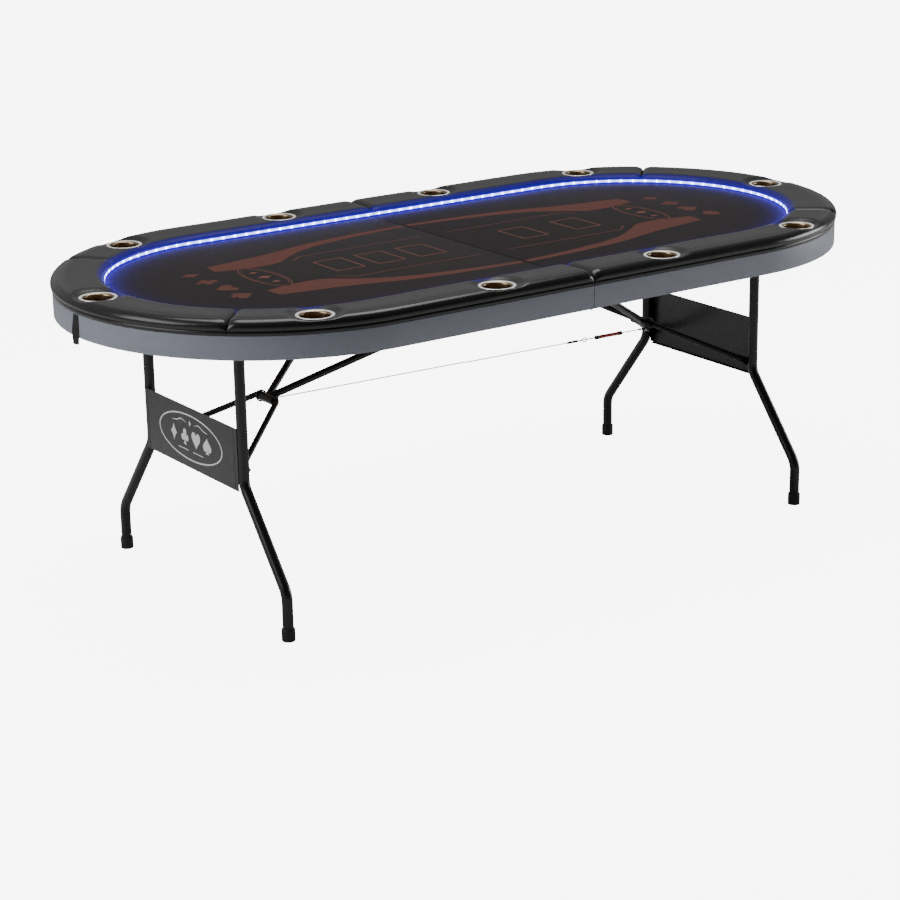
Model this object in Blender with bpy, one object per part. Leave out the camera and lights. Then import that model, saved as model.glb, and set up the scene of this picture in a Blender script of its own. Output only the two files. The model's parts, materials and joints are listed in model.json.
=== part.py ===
"""Folding oval card table with padded rails, steel cup holders and braced folding legs.

Units are metres and +Z is up.  The origin is on the floor below the middle of the
table.  +X runs along the table's length, so the table folds in half about the line
x = 0.  The left half (-X) is the fixed one.  The right half turns down about the
fold hinges, and each leg frame folds inward under its own half.
"""

import math

import bmesh
import bpy
from mathutils import Matrix, Vector

# Table top -------------------------------------------------------------------
LENGTH = 2.1096
WIDTH = 1.0428
HEIGHT = 0.762
END_RADIUS = WIDTH / 2
END_CENTRE_X = LENGTH / 2 - END_RADIUS

# Gaps between pieces, and how far a cutter or a joined solid reaches past the surface
FIT_GAP = 0.0003
FOLD_GAP = 0.00075
CUT_MARGIN = 0.010
OVERLAP = 0.001
WELD_DISTANCE = 0.00001

APRON_INSET = 0.0036
APRON_THICKNESS = 0.009
APRON_TOP = 0.7243
APRON_BOTTOM = 0.6704
DECK_THICKNESS = 0.012
DECK_UNDERSIDE = APRON_TOP - DECK_THICKNESS
RAIL_UNDERSIDE = APRON_TOP + FIT_GAP
RAIL_WIDTH = 0.1234
FELT_TOP = 0.734
LIGHT_STRIP_BOTTOM = 0.737
LIGHT_STRIP_TOP = 0.745
LIGHT_STRIP_THICKNESS = 0.0015

PAD_SEAM_ANGLE = math.radians(47.0)
SIDE_PAD_STEPS = 8
END_PAD_STEPS = 16
PAD_CORNER_STEPS = 4
PAD_OUTER_ROUND = 0.0180
PAD_INNER_ROUND = 0.0160
PAD_FOOT_INSET = 0.002
PAD_FOOT_HEIGHT = 0.004

# Cup holders -----------------------------------------------------------------
SIDE_CUP_X = 0.240
SIDE_CUP_Y = 0.4699
CORNER_CUP_ANGLE = math.radians(69.1)
CORNER_CUP_RADIUS = 0.4675
END_CUP_X = 0.995
CUP_FLANGE_RADIUS = 0.0445
CUP_RADIUS = 0.0345
CUP_TAPER = 0.0015
CUP_FLANGE_TOP = 0.7545
CUP_DEPTH = 0.060
CUP_WALL = 0.0016
CUP_SEGMENTS = 20
CUP_HOLE_RADIUS = CUP_RADIUS + 0.0006
CUP_RECESS_RADIUS = CUP_FLANGE_RADIUS + 0.0008

# Leg frames ------------------------------------------------------------------
LEG_X = 0.767
LEG_PIVOT_Z = 0.690
TUBE_RADIUS = 0.0127
TUBE_Y_TOP = 0.2155
TUBE_Y_FOOT = 0.385
TUBE_TOP_Z = LEG_PIVOT_Z + 0.013
UPPER_BEND_Z = 0.3225
LOWER_BEND_Z = 0.1105
TUBE_BEND_RADIUS = 0.055
PIVOT_ROD_RADIUS = 0.006
PIVOT_ROD_HALF_LENGTH = 0.238
FOOT_CAP_RADIUS = 0.0158
FOOT_CAP_HEIGHT = 0.030
FOOT_CAP_SOLE = 0.004
FOOT_CAP_CHAMFER = 0.0015
PANEL_BOTTOM = 0.308
PANEL_TOP = 0.458
PANEL_HALF_WIDTH = 0.215
PANEL_SHEET = 0.0015
PANEL_FLANGE_HALF_WIDTH = 0.202
PANEL_FLANGE_DEPTH = 0.0085
PANEL_FLANGE_LIFT = 0.0005

# Knuckle braces --------------------------------------------------------------
BRACE_TOP_X = 0.079
BRACE_TOP_Y = 0.311
BRACE_TOP_Z = 0.699
BRACE_FOOT_DROP = 0.346
BRACE_FOOT_OFFSET = 0.004
UPPER_ARM_RADIUS = 0.0075
LOWER_ARM_RADIUS = 0.0070
KNUCKLE_SLEEVE_RADIUS = 0.011
KNUCKLE_SLEEVE_HALF = 0.0335
KNUCKLE_EAR_THICKNESS = 0.004
BRACE_PIN_RADIUS = 0.003
TAB_PIN_RADIUS = 0.004
TAB_Y = 0.198
TAB_THICKNESS = 0.005
PIN_HEAD_THICKNESS = 0.0027
PIN_HEAD_OVERHANG = 0.0028
BRACKET_PLATE = 0.003
BRACKET_PIN_REACH = 0.002
# Each brace tube stops short of its end pin and carries a flat tab with an eye there
UPPER_TAB_LENGTH = 0.036
UPPER_TAB_HALF_WIDTH = 0.007
UPPER_TAB_EYE_RADIUS = 0.009
UPPER_TUBE_STOP = 0.018
UPPER_TUBE_BEND_ASIDE = 0.0075
UPPER_TUBE_END_ASIDE = 0.0060
LOWER_TAB_LENGTH = 0.030
LOWER_TAB_HALF_WIDTH = 0.0065
LOWER_TAB_EYE_RADIUS = 0.0095
LOWER_TUBE_STOP = 0.013
LOWER_TUBE_BEND_ASIDE = 0.009
LOWER_TUBE_END_ASIDE = 0.0045
RIVET_RADIUS = 0.007
RIVET_HEIGHT = 0.004

# Tension cable ---------------------------------------------------------------
CABLE_DROP = 0.0125
CABLE_RADIUS = 0.0015
CABLE_SIDE_AT_KNUCKLE = 0.0260
CABLE_SIDE_AT_MIDDLE = 0.0018
TURNBUCKLE_START = 0.400
TURNBUCKLE_END = 0.485
TURNBUCKLE_RADIUS = 0.0055
TURNBUCKLE_BORE = 0.0021
FERRULE_START = 0.312
FERRULE_END = 0.345
FERRULE_RADIUS = 0.0034
HOOK_RING_X = 0.366
HOOK_RING_RADIUS = 0.0065
HOOK_RING_THICKNESS = 0.0044
HOOK_RING_LIFT = 0.0007
CABLE_EYE_RIM = 0.0021
CABLE_EYE_HALF_THICKNESS = 0.003
TURNBUCKLE_CAP_LENGTH = 0.013
TURNBUCKLE_WAIST_RADIUS = 0.0047

# Fold hinges, strap and light supply ------------------------------------------
FOLD_EYE_RADIUS = 0.005
FOLD_PIN_RADIUS = 0.002
FOLD_LEAF_LENGTH = 0.060
FOLD_LEAF_THICKNESS = 0.0028
FOLD_LEAF_START = 0.012
FOLD_LEAF_LOW = 0.003
FOLD_LEAF_HIGH = 0.026
FOLD_LEAF_STANDOFF = 0.0005
FOLD_NECK_RUN = 0.020
FOLD_NECK_RISE = 0.012
FOLD_NECK_HALF_WIDTH = 0.0042
FOLD_PIN_END_GAP = 0.0002
STRAP_STANDOFF = 0.0009
STRAP_WIDTH = 0.019
STRAP_THICKNESS = 0.002
STRAP_BOTTOM = 0.655
SUPPLY_X = -0.885
SUPPLY_SIZE = Vector((0.080, 0.090, 0.0215))
ROCKER_SIZE = Vector((0.0150, 0.0095, 0.0050))
ROCKER_TILT = math.radians(6.0)
ROCKER_CLEARANCE = Vector((0.0012, 0.0006, 0.0020))
ROCKER_Y = 0.026
ROCKER_PROUD = 0.0008

ROUND_SEGMENTS = 12
SMALL_SEGMENTS = 8
EAR_STEPS = 6
SHARP_ANGLE = math.radians(35.0)
JOINT_MARK_SIZE = 0.03


# Linkage ---------------------------------------------------------------------
def brace_geometry():
    """Knuckle place and arm lengths of a brace that lies flat when the leg is folded.

    The arms are in line when the leg stands, and folded onto each other when the
    leg lies under the top, which fixes both lengths.  Points are (x, z), measured
    from the table's middle toward the leg.
    """
    top = Vector((BRACE_TOP_X, BRACE_TOP_Z))
    foot_open = Vector((LEG_X - BRACE_FOOT_OFFSET, LEG_PIVOT_Z - BRACE_FOOT_DROP))
    foot_folded = Vector((LEG_X - BRACE_FOOT_DROP, LEG_PIVOT_Z + BRACE_FOOT_OFFSET))
    open_span = (foot_open - top).length
    folded_span = (foot_folded - top).length
    upper_length = (open_span + folded_span) / 2
    knuckle = top + (foot_open - top).normalized() * upper_length
    return top, foot_open, knuckle


BRACE_TOP, BRACE_FOOT, KNUCKLE = brace_geometry()


# Scene and materials ---------------------------------------------------------
def clear_scene():
    """Remove every object and material of the open file."""
    for old in list(bpy.data.objects):
        bpy.data.objects.remove(old, do_unlink=True)
    for old in list(bpy.data.materials):
        bpy.data.materials.remove(old)


def make_material(name, colour, roughness, metallic=0.0):
    """A Principled material with one colour."""
    material = bpy.data.materials.new(name)
    material.use_nodes = True
    shader = material.node_tree.nodes["Principled BSDF"]
    shader.inputs["Base Color"].default_value = (*colour, 1.0)
    shader.inputs["Roughness"].default_value = roughness
    shader.inputs["Metallic"].default_value = metallic
    material.diffuse_color = (*colour, 1.0)
    return material


def make_materials():
    """All finishes of the table, by slot name."""
    return {
        "vinyl": make_material("vinyl", (0.013, 0.014, 0.014), 0.38),
        "felt": make_material("felt", (0.018, 0.015, 0.017), 0.95),
        "apron": make_material("apron", (0.115, 0.118, 0.130), 0.55),
        "board": make_material("board", (0.30, 0.22, 0.14), 0.75),
        "steel": make_material("steel", (0.72, 0.68, 0.62), 0.22, 1.0),
        "light": make_material("light", (0.55, 0.62, 1.0), 0.40),
        "frame_black": make_material("frame_black", (0.012, 0.012, 0.013), 0.35, 0.3),
        "zinc": make_material("zinc", (0.42, 0.43, 0.45), 0.35, 1.0),
        "rubber": make_material("rubber", (0.010, 0.010, 0.010), 0.75),
        "cable": make_material("cable", (0.62, 0.63, 0.64), 0.40, 0.6),
        "turnbuckle": make_material("turnbuckle", (0.50, 0.035, 0.030), 0.35, 0.2),
        "strap": make_material("strap", (0.012, 0.012, 0.012), 0.85),
        "plastic": make_material("plastic", (0.016, 0.016, 0.018), 0.45),
    }


# Placing ---------------------------------------------------------------------
def make_pivot(name, place, parent=None):
    """An empty on a joint's axis, which carries the pieces that turn about it."""
    pivot = bpy.data.objects.new(name, None)
    pivot.empty_display_size = JOINT_MARK_SIZE
    bpy.context.collection.objects.link(pivot)
    pivot.location = place
    if parent is not None:
        pivot.parent = parent
        pivot.location = place - world_place(parent)
    return pivot


def world_place(pivot):
    """World location of an empty, worked out along its chain of parents."""
    place = pivot.location.copy()
    if pivot.parent is not None:
        place += world_place(pivot.parent)
    return place


def add_piece(name, mesh, material, pivot=None, smooth=False):
    """Link a mesh that is in world coordinates as the named piece, under its pivot."""
    mesh.name = name
    mesh.materials.clear()
    mesh.materials.append(material)
    if smooth:
        mesh.shade_smooth()
        mesh.set_sharp_from_angle(angle=SHARP_ANGLE)
    piece = bpy.data.objects.new(name, mesh)
    bpy.context.collection.objects.link(piece)
    if pivot is not None:
        mesh.transform(Matrix.Translation(-world_place(pivot)))
        piece.parent = pivot
    return piece


# Solids ----------------------------------------------------------------------
def mesh_from(build):
    """Mesh of a bmesh that the given function fills, with its faces pointing out."""
    work = bmesh.new()
    build(work)
    bmesh.ops.recalc_face_normals(work, faces=work.faces)
    mesh = bpy.data.meshes.new("solid")
    work.to_mesh(mesh)
    work.free()
    return mesh


def box(low, high):
    """Box between two corners."""
    low = Vector(low)
    high = Vector(high)
    size = high - low
    place = Matrix.Translation((low + high) / 2) @ Matrix.Diagonal((*size, 1.0))
    return mesh_from(lambda work: bmesh.ops.create_cube(work, size=1.0, matrix=place))


def cylinder(start, end, radius, segments=ROUND_SEGMENTS):
    """Round bar between two points."""
    start = Vector(start)
    end = Vector(end)
    turn = (end - start).to_track_quat("Z", "Y").to_matrix().to_4x4()
    place = Matrix.Translation((start + end) / 2) @ turn
    return mesh_from(
        lambda work: bmesh.ops.create_cone(
            work,
            cap_ends=True,
            segments=segments,
            radius1=radius,
            radius2=radius,
            depth=(end - start).length,
            matrix=place,
        )
    )


def prism(outline, shift):
    """Flat outline of world points, extruded along a vector."""

    def build(work):
        corners = [work.verts.new(point) for point in outline]
        face = work.faces.new(corners)
        grown = bmesh.ops.extrude_face_region(work, geom=[face])["geom"]
        moved = [item for item in grown if isinstance(item, bmesh.types.BMVert)]
        bmesh.ops.translate(work, verts=moved, vec=shift)

    return mesh_from(build)


def turned(profile, place, segments):
    """Profile of (radius, z) points turned about the vertical line through a place.

    A profile that is off the axis closes on itself as a ring.
    """

    def build(work):
        points = [work.verts.new((radius, 0, z)) for radius, z in profile]
        edges = [work.edges.new(pair) for pair in zip(points, points[1:])]
        if min(radius for radius, _ in profile) > 0:
            edges.append(work.edges.new((points[-1], points[0])))
        bmesh.ops.spin(
            work,
            geom=points + edges,
            cent=(0, 0, 0),
            axis=(0, 0, 1),
            angle=math.tau,
            steps=segments,
            use_merge=True,
        )
        bmesh.ops.remove_doubles(work, verts=work.verts, dist=WELD_DISTANCE)
        bmesh.ops.translate(work, verts=work.verts, vec=place)

    return mesh_from(build)


def rounded_path(points, radius, steps=4):
    """Polyline whose inner corners are replaced by arcs of the given radius."""
    path = [Vector(points[0])]
    for before, corner, after in zip(points, points[1:], points[2:]):
        corner = Vector(corner)
        back = (Vector(before) - corner).normalized()
        ahead = (Vector(after) - corner).normalized()
        half = back.angle(ahead) / 2
        centre = corner + (back + ahead).normalized() * (radius / math.sin(half))
        first = corner + back * (radius / math.tan(half)) - centre
        last = corner + ahead * (radius / math.tan(half)) - centre
        for step in range(steps + 1):
            path.append(centre + first.slerp(last, step / steps).normalized() * radius)
    path.append(Vector(points[-1]))
    return path


def tube(points, radius, resolution=5):
    """Round tube along a path of points, with flat ends."""
    curve = bpy.data.curves.new("tube_path", "CURVE")
    curve.dimensions = "3D"
    curve.bevel_depth = radius
    curve.bevel_resolution = resolution
    curve.use_fill_caps = True
    line = curve.splines.new("POLY")
    line.points.add(len(points) - 1)
    for slot, point in zip(line.points, points):
        slot.co = (*point, 1.0)
    guide = bpy.data.objects.new("tube_guide", curve)
    bpy.context.collection.objects.link(guide)
    open_ended = evaluated_mesh(guide)
    bpy.data.objects.remove(guide, do_unlink=True)

    def weld_caps(work):
        work.from_mesh(open_ended)
        bmesh.ops.remove_doubles(work, verts=work.verts, dist=WELD_DISTANCE)

    return mesh_from(weld_caps)


def evaluated_mesh(source):
    """New mesh of an object with its modifiers in force."""
    bpy.context.view_layer.update()
    graph = bpy.context.evaluated_depsgraph_get()
    return bpy.data.meshes.new_from_object(source.evaluated_get(graph), depsgraph=graph)


def combine(base, joined=(), cut=()):
    """One solid: the base mesh with other meshes joined to it, then cut from it."""
    holder = bpy.data.objects.new("combine_base", base)
    bpy.context.collection.objects.link(holder)
    helpers = [holder]
    operations = [("UNION", mesh) for mesh in joined] + [("DIFFERENCE", mesh) for mesh in cut]
    for operation, mesh in operations:
        helper = bpy.data.objects.new("combine_tool", mesh)
        helper.hide_render = True
        helper.display_type = "WIRE"
        bpy.context.collection.objects.link(helper)
        helpers.append(helper)
        modifier = holder.modifiers.new(operation, "BOOLEAN")
        modifier.operation = operation
        modifier.solver = "EXACT"
        modifier.object = helper
    result = evaluated_mesh(holder)
    for helper in helpers:
        bpy.data.objects.remove(helper, do_unlink=True)
    return result


# Racetrack outline -----------------------------------------------------------
def arc_angles(first, last, steps):
    """Evenly spaced angles from first to last, both included."""
    return [first + (last - first) * step / steps for step in range(steps + 1)]


def end_stations():
    """Angles round one end, with a station at each pad seam so that all rings agree."""
    quarter = math.pi / 2
    angles = arc_angles(quarter, PAD_SEAM_ANGLE, SIDE_PAD_STEPS)
    angles += arc_angles(PAD_SEAM_ANGLE, -PAD_SEAM_ANGLE, END_PAD_STEPS)[1:]
    angles += arc_angles(-PAD_SEAM_ANGLE, -quarter, SIDE_PAD_STEPS)[1:]
    return angles


def ring_point(side, centre_x, angle, radius, z):
    """Point of an offset outline, mirrored to the left or right half."""
    return Vector((side * (centre_x + radius * math.cos(angle)), radius * math.sin(angle), z))


def half_path(gap=FOLD_GAP):
    """Stations (centre x, angle) round a half table, from fold to fold."""
    quarter = math.pi / 2
    stations = [(gap, quarter)]
    stations += [(END_CENTRE_X, angle) for angle in end_stations()]
    stations.append((gap, -quarter))
    return stations


def half_board(side, inset, low, high, gap=FOLD_GAP):
    """Flat board with a half racetrack outline."""
    radius = END_RADIUS - inset
    outline = [ring_point(side, x, angle, radius, low) for x, angle in half_path(gap)]
    return prism(outline, (0, 0, high - low))


def swept_ring(side, stations, profile):
    """Closed (inset, z) profile swept along stations of the racetrack."""

    def build(work):
        rings = []
        for centre_x, angle in stations:
            ring = []
            for inset, z in profile:
                place = ring_point(side, centre_x, angle, END_RADIUS - inset, z)
                ring.append(work.verts.new(place))
            rings.append(ring)
        for ring, following in zip(rings, rings[1:]):
            for index in range(len(profile)):
                nearer = index - 1
                corners = (ring[nearer], ring[index], following[index], following[nearer])
                work.faces.new(corners)
        work.faces.new(rings[0])
        work.faces.new(rings[-1])

    return mesh_from(build)


# Cup holders -----------------------------------------------------------------
def cup_places(side):
    """Name and centre of each cup holder of one half."""
    places = [("end_cup", Vector((side * END_CUP_X, 0, 0)))]
    for word, sign in (("near", -1), ("far", 1)):
        corner = ring_point(side, END_CENTRE_X, sign * CORNER_CUP_ANGLE, CORNER_CUP_RADIUS, 0)
        places.append((f"{word}_corner_cup", corner))
        places.append((f"{word}_side_cup", Vector((side * SIDE_CUP_X, sign * SIDE_CUP_Y, 0))))
    return places


def cup_mesh(place):
    """Drawn steel cup with a flat flange."""
    flange_low = CUP_FLANGE_TOP - CUP_WALL
    floor = CUP_FLANGE_TOP - CUP_DEPTH
    base = CUP_RADIUS - CUP_TAPER
    profile = [
        (0.0, floor),
        (base - CUP_TAPER, floor),
        (base, floor + CUP_TAPER),
        (CUP_RADIUS, flange_low),
        (CUP_FLANGE_RADIUS, flange_low),
        (CUP_FLANGE_RADIUS, CUP_FLANGE_TOP),
        (CUP_RADIUS - CUP_WALL, CUP_FLANGE_TOP),
        (base - CUP_WALL, floor + 2 * CUP_TAPER),
        (0.0, floor + CUP_WALL),
    ]
    return turned(profile, place, CUP_SEGMENTS)


def cup_hole(place):
    """Stepped cutter: a hole for the cup's body and a recess for its flange."""
    recess_floor = CUP_FLANGE_TOP - CUP_WALL - FIT_GAP
    profile = [
        (0.0, DECK_UNDERSIDE - CUT_MARGIN),
        (CUP_HOLE_RADIUS, DECK_UNDERSIDE - CUT_MARGIN),
        (CUP_HOLE_RADIUS, recess_floor),
        (CUP_RECESS_RADIUS, recess_floor),
        (CUP_RECESS_RADIUS, HEIGHT + CUT_MARGIN),
        (0.0, HEIGHT + CUT_MARGIN),
    ]
    return turned(profile, place, CUP_SEGMENTS)


# Table top pieces ------------------------------------------------------------
def pad_profile():
    """Section of a padded rail: flat underside, rounded outer and inner shoulders."""
    quarter = math.pi / 2
    section = [
        (RAIL_WIDTH, RAIL_UNDERSIDE),
        (PAD_FOOT_INSET, RAIL_UNDERSIDE),
        (0.0, RAIL_UNDERSIDE + PAD_FOOT_HEIGHT),
    ]
    centre = (PAD_OUTER_ROUND, HEIGHT - PAD_OUTER_ROUND)
    for angle in arc_angles(0.0, quarter, PAD_CORNER_STEPS):
        inset = centre[0] - PAD_OUTER_ROUND * math.cos(angle)
        section.append((inset, centre[1] + PAD_OUTER_ROUND * math.sin(angle)))
    centre = (RAIL_WIDTH - PAD_INNER_ROUND, HEIGHT - PAD_INNER_ROUND)
    for angle in arc_angles(quarter, 0.0, PAD_CORNER_STEPS):
        inset = centre[0] + PAD_INNER_ROUND * math.cos(angle)
        section.append((inset, centre[1] + PAD_INNER_ROUND * math.sin(angle)))
    return section


def pad_stations(part):
    """Stations of the near side, end or far side pad, stopping short of each seam."""
    quarter = math.pi / 2
    half_gap = FIT_GAP / END_RADIUS * 2
    if part == "end":
        limit = PAD_SEAM_ANGLE - half_gap
        inner = arc_angles(PAD_SEAM_ANGLE, -PAD_SEAM_ANGLE, END_PAD_STEPS)[1:-1]
        return [(END_CENTRE_X, angle) for angle in [limit, *inner, -limit]]
    sign = -1 if part == "near" else 1
    arc = arc_angles(quarter, PAD_SEAM_ANGLE, SIDE_PAD_STEPS)
    arc[-1] += half_gap
    return [(FOLD_GAP, sign * quarter)] + [(END_CENTRE_X, sign * angle) for angle in arc]


def add_rails(side, word, materials, pivot):
    """Three padded rails of one half, with the openings for its cup holders."""
    cups = dict(cup_places(side))
    holes = {
        "near": [cups["near_corner_cup"], cups["near_side_cup"]],
        "end": [cups["end_cup"]],
        "far": [cups["far_corner_cup"], cups["far_side_cup"]],
    }
    for part, places in holes.items():
        blank = swept_ring(side, pad_stations(part), pad_profile())
        pad = combine(blank, cut=[cup_hole(place) for place in places])
        add_piece(f"{word}_{part}_rail", pad, materials["vinyl"], pivot, smooth=True)


def add_table_top(side, word, materials, pivot):
    """Deck, apron, padded playing surface, light strip, rails and cups of one half."""
    cutters = [cup_hole(place) for _, place in cup_places(side)]
    deck_inset = APRON_INSET + APRON_THICKNESS + FIT_GAP
    deck = combine(half_board(side, deck_inset, DECK_UNDERSIDE, APRON_TOP), cut=cutters)
    add_piece(f"{word}_deck_board", deck, materials["board"], pivot)

    inner = APRON_INSET + APRON_THICKNESS
    apron_section = [
        (APRON_INSET, APRON_BOTTOM),
        (APRON_INSET, APRON_TOP),
        (inner, APRON_TOP),
        (inner, APRON_BOTTOM),
    ]
    apron = swept_ring(side, half_path(), apron_section)
    add_piece(f"{word}_apron", apron, materials["apron"], pivot)

    felt_inset = RAIL_WIDTH + FIT_GAP
    felt = half_board(side, felt_inset, RAIL_UNDERSIDE, FELT_TOP)
    add_piece(f"{word}_felt_pad", felt, materials["felt"], pivot)

    strip_inset = felt_inset + LIGHT_STRIP_THICKNESS
    strip_section = [
        (felt_inset, LIGHT_STRIP_BOTTOM),
        (felt_inset, LIGHT_STRIP_TOP),
        (strip_inset, LIGHT_STRIP_TOP),
        (strip_inset, LIGHT_STRIP_BOTTOM),
    ]
    strip = swept_ring(side, half_path(), strip_section)
    add_piece(f"{word}_light_strip", strip, materials["light"], pivot)

    add_rails(side, word, materials, pivot)
    for name, place in cup_places(side):
        add_piece(f"{word}_{name}", cup_mesh(place), materials["steel"], pivot, smooth=True)


# Leg frames ------------------------------------------------------------------
def leg_tube_mesh(side, sign):
    """Bent leg tube with its pivot hole and the pin that carries the lower brace arm."""
    x = side * LEG_X
    corners = [
        (x, sign * TUBE_Y_TOP, TUBE_TOP_Z),
        (x, sign * TUBE_Y_TOP, UPPER_BEND_Z),
        (x, sign * TUBE_Y_FOOT, LOWER_BEND_Z),
        (x, sign * TUBE_Y_FOOT, FOOT_CAP_SOLE + FIT_GAP),
    ]
    shape = tube(rounded_path(corners, TUBE_BEND_RADIUS), TUBE_RADIUS, 5)
    pin_x = side * BRACE_FOOT.x
    pin_z = BRACE_FOOT.y
    head_inner = TAB_Y - TAB_THICKNESS / 2 - FIT_GAP
    pin = cylinder(
        (pin_x, sign * (TUBE_Y_TOP - TUBE_RADIUS / 2), pin_z),
        (pin_x, sign * (head_inner - OVERLAP), pin_z),
        TAB_PIN_RADIUS,
        SMALL_SEGMENTS,
    )
    head = cylinder(
        (pin_x, sign * head_inner, pin_z),
        (pin_x, sign * (head_inner - PIN_HEAD_THICKNESS), pin_z),
        TAB_PIN_RADIUS + PIN_HEAD_OVERHANG,
        SMALL_SEGMENTS,
    )
    hole = cylinder(
        (x, sign * (TUBE_Y_TOP - TUBE_RADIUS - CUT_MARGIN), LEG_PIVOT_Z),
        (x, sign * (TUBE_Y_TOP + TUBE_RADIUS + CUT_MARGIN), LEG_PIVOT_Z),
        PIVOT_ROD_RADIUS + FIT_GAP,
    )
    return combine(shape, joined=[pin, head], cut=[hole])


def leg_panel_mesh(side):
    """Sheet panel across the outer side of a leg frame, with its lower edge turned in."""
    outer = TUBE_RADIUS + FIT_GAP + PANEL_SHEET
    face = outer - PANEL_SHEET

    def sheet(near_x, far_x, half_width, low, high):
        first = side * (LEG_X + near_x)
        second = side * (LEG_X + far_x)
        return box(
            (min(first, second), -half_width, low),
            (max(first, second), half_width, high),
        )

    plate = sheet(face, outer, PANEL_HALF_WIDTH, PANEL_BOTTOM, PANEL_TOP)
    turned_in = face - PANEL_FLANGE_DEPTH
    flange = sheet(
        turned_in,
        face + PANEL_SHEET / 2,
        PANEL_FLANGE_HALF_WIDTH,
        PANEL_BOTTOM + PANEL_FLANGE_LIFT,
        PANEL_BOTTOM + PANEL_FLANGE_LIFT + PANEL_SHEET,
    )
    return combine(plate, joined=[flange])


def foot_cap_mesh(side, sign):
    """Rubber cap that the tube's foot stands in."""
    bore = running_radius(TUBE_RADIUS, ROUND_SEGMENTS)
    profile = [
        (0.0, 0.0),
        (FOOT_CAP_RADIUS - FOOT_CAP_CHAMFER, 0.0),
        (FOOT_CAP_RADIUS, FOOT_CAP_CHAMFER),
        (FOOT_CAP_RADIUS, FOOT_CAP_HEIGHT),
        (bore, FOOT_CAP_HEIGHT),
        (bore, FOOT_CAP_SOLE),
        (0.0, FOOT_CAP_SOLE),
    ]
    return turned(profile, Vector((side * LEG_X, sign * TUBE_Y_FOOT, 0)), ROUND_SEGMENTS)


def clevis_mesh(place, half_gap, ear_sheet, reach, ear_radius, hole=0.0, pin=0.0):
    """Bracket under the deck: a top plate and two ears, with a pin hole or its pin."""
    plate_top = DECK_UNDERSIDE - FIT_GAP
    plate_bottom = plate_top - BRACKET_PLATE
    outer = half_gap + ear_sheet
    plate = box(
        (place.x - reach, place.y - outer, plate_bottom),
        (place.x + reach, place.y + outer, plate_top),
    )
    solids = []
    for sign in (-1, 1):
        low_y = place.y + min(sign * half_gap, sign * outer)
        ear = [(place.x + ear_radius, low_y, plate_bottom + OVERLAP)]
        for angle in arc_angles(0.0, -math.pi, EAR_STEPS):
            x = place.x + ear_radius * math.cos(angle)
            ear.append((x, low_y, place.z + ear_radius * math.sin(angle)))
        ear.append((place.x - ear_radius, low_y, plate_bottom + OVERLAP))
        solids.append(prism(ear, (0, ear_sheet, 0)))
    cuts = []
    across = Vector((0, outer + BRACKET_PIN_REACH, 0))
    if pin:
        solids.append(cylinder(place - across, place + across, pin, SMALL_SEGMENTS))
    if hole:
        cuts.append(cylinder(place - across, place + across, hole))
    return combine(plate, joined=solids, cut=cuts)


def add_leg_frame(side, word, materials, body_pivot, leg_pivot):
    """Two tubes, panel and caps that fold, and the rod and brackets that hold them."""
    black = materials["frame_black"]
    for end, sign in (("near", -1), ("far", 1)):
        tube_mesh = leg_tube_mesh(side, sign)
        add_piece(f"{word}_{end}_leg_tube", tube_mesh, black, leg_pivot, smooth=True)
        cap = foot_cap_mesh(side, sign)
        add_piece(f"{word}_{end}_foot_cap", cap, materials["rubber"], leg_pivot, smooth=True)
        bracket = clevis_mesh(
            Vector((side * LEG_X, sign * TUBE_Y_TOP, LEG_PIVOT_Z)),
            half_gap=TUBE_RADIUS + 0.0018,
            ear_sheet=0.003,
            reach=0.020,
            ear_radius=0.012,
            hole=PIVOT_ROD_RADIUS + FIT_GAP,
        )
        add_piece(f"{word}_{end}_leg_bracket", bracket, materials["zinc"], body_pivot)
    add_piece(f"{word}_leg_panel", leg_panel_mesh(side), black, leg_pivot)
    rod = cylinder(
        (side * LEG_X, -PIVOT_ROD_HALF_LENGTH, LEG_PIVOT_Z),
        (side * LEG_X, PIVOT_ROD_HALF_LENGTH, LEG_PIVOT_Z),
        PIVOT_ROD_RADIUS,
    )
    add_piece(f"{word}_leg_pivot_rod", rod, materials["zinc"], body_pivot, smooth=True)


# Knuckle braces --------------------------------------------------------------
def brace_point(side, start, end, share, y):
    """Point at a share of the way from start to end, both (x, z), at a given y."""
    spot = start.lerp(end, share)
    return Vector((side * spot.x, y, spot.y))


def strip_plate(start, end, half_width, y_low, y_high):
    """Flat bar standing in an x-z plane, from start to end."""
    along = (end - start).normalized()
    across = Vector((-along.z, 0, along.x)) * half_width
    outline = []
    for point, sign in ((start, 1), (start, -1), (end, -1), (end, 1)):
        corner = point + across * sign
        outline.append((corner.x, y_low, corner.z))
    return prism(outline, (0, y_high - y_low, 0))


def running_radius(radius, segments):
    """Radius of a faceted bore in which a faceted bar of the given radius can turn."""
    return radius / math.cos(math.pi / segments) + FIT_GAP


def flat_disc(place, radius, y_low, y_high):
    """Round plate standing in an x-z plane."""
    return cylinder((place.x, y_low, place.z), (place.x, y_high, place.z), radius)


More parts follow.
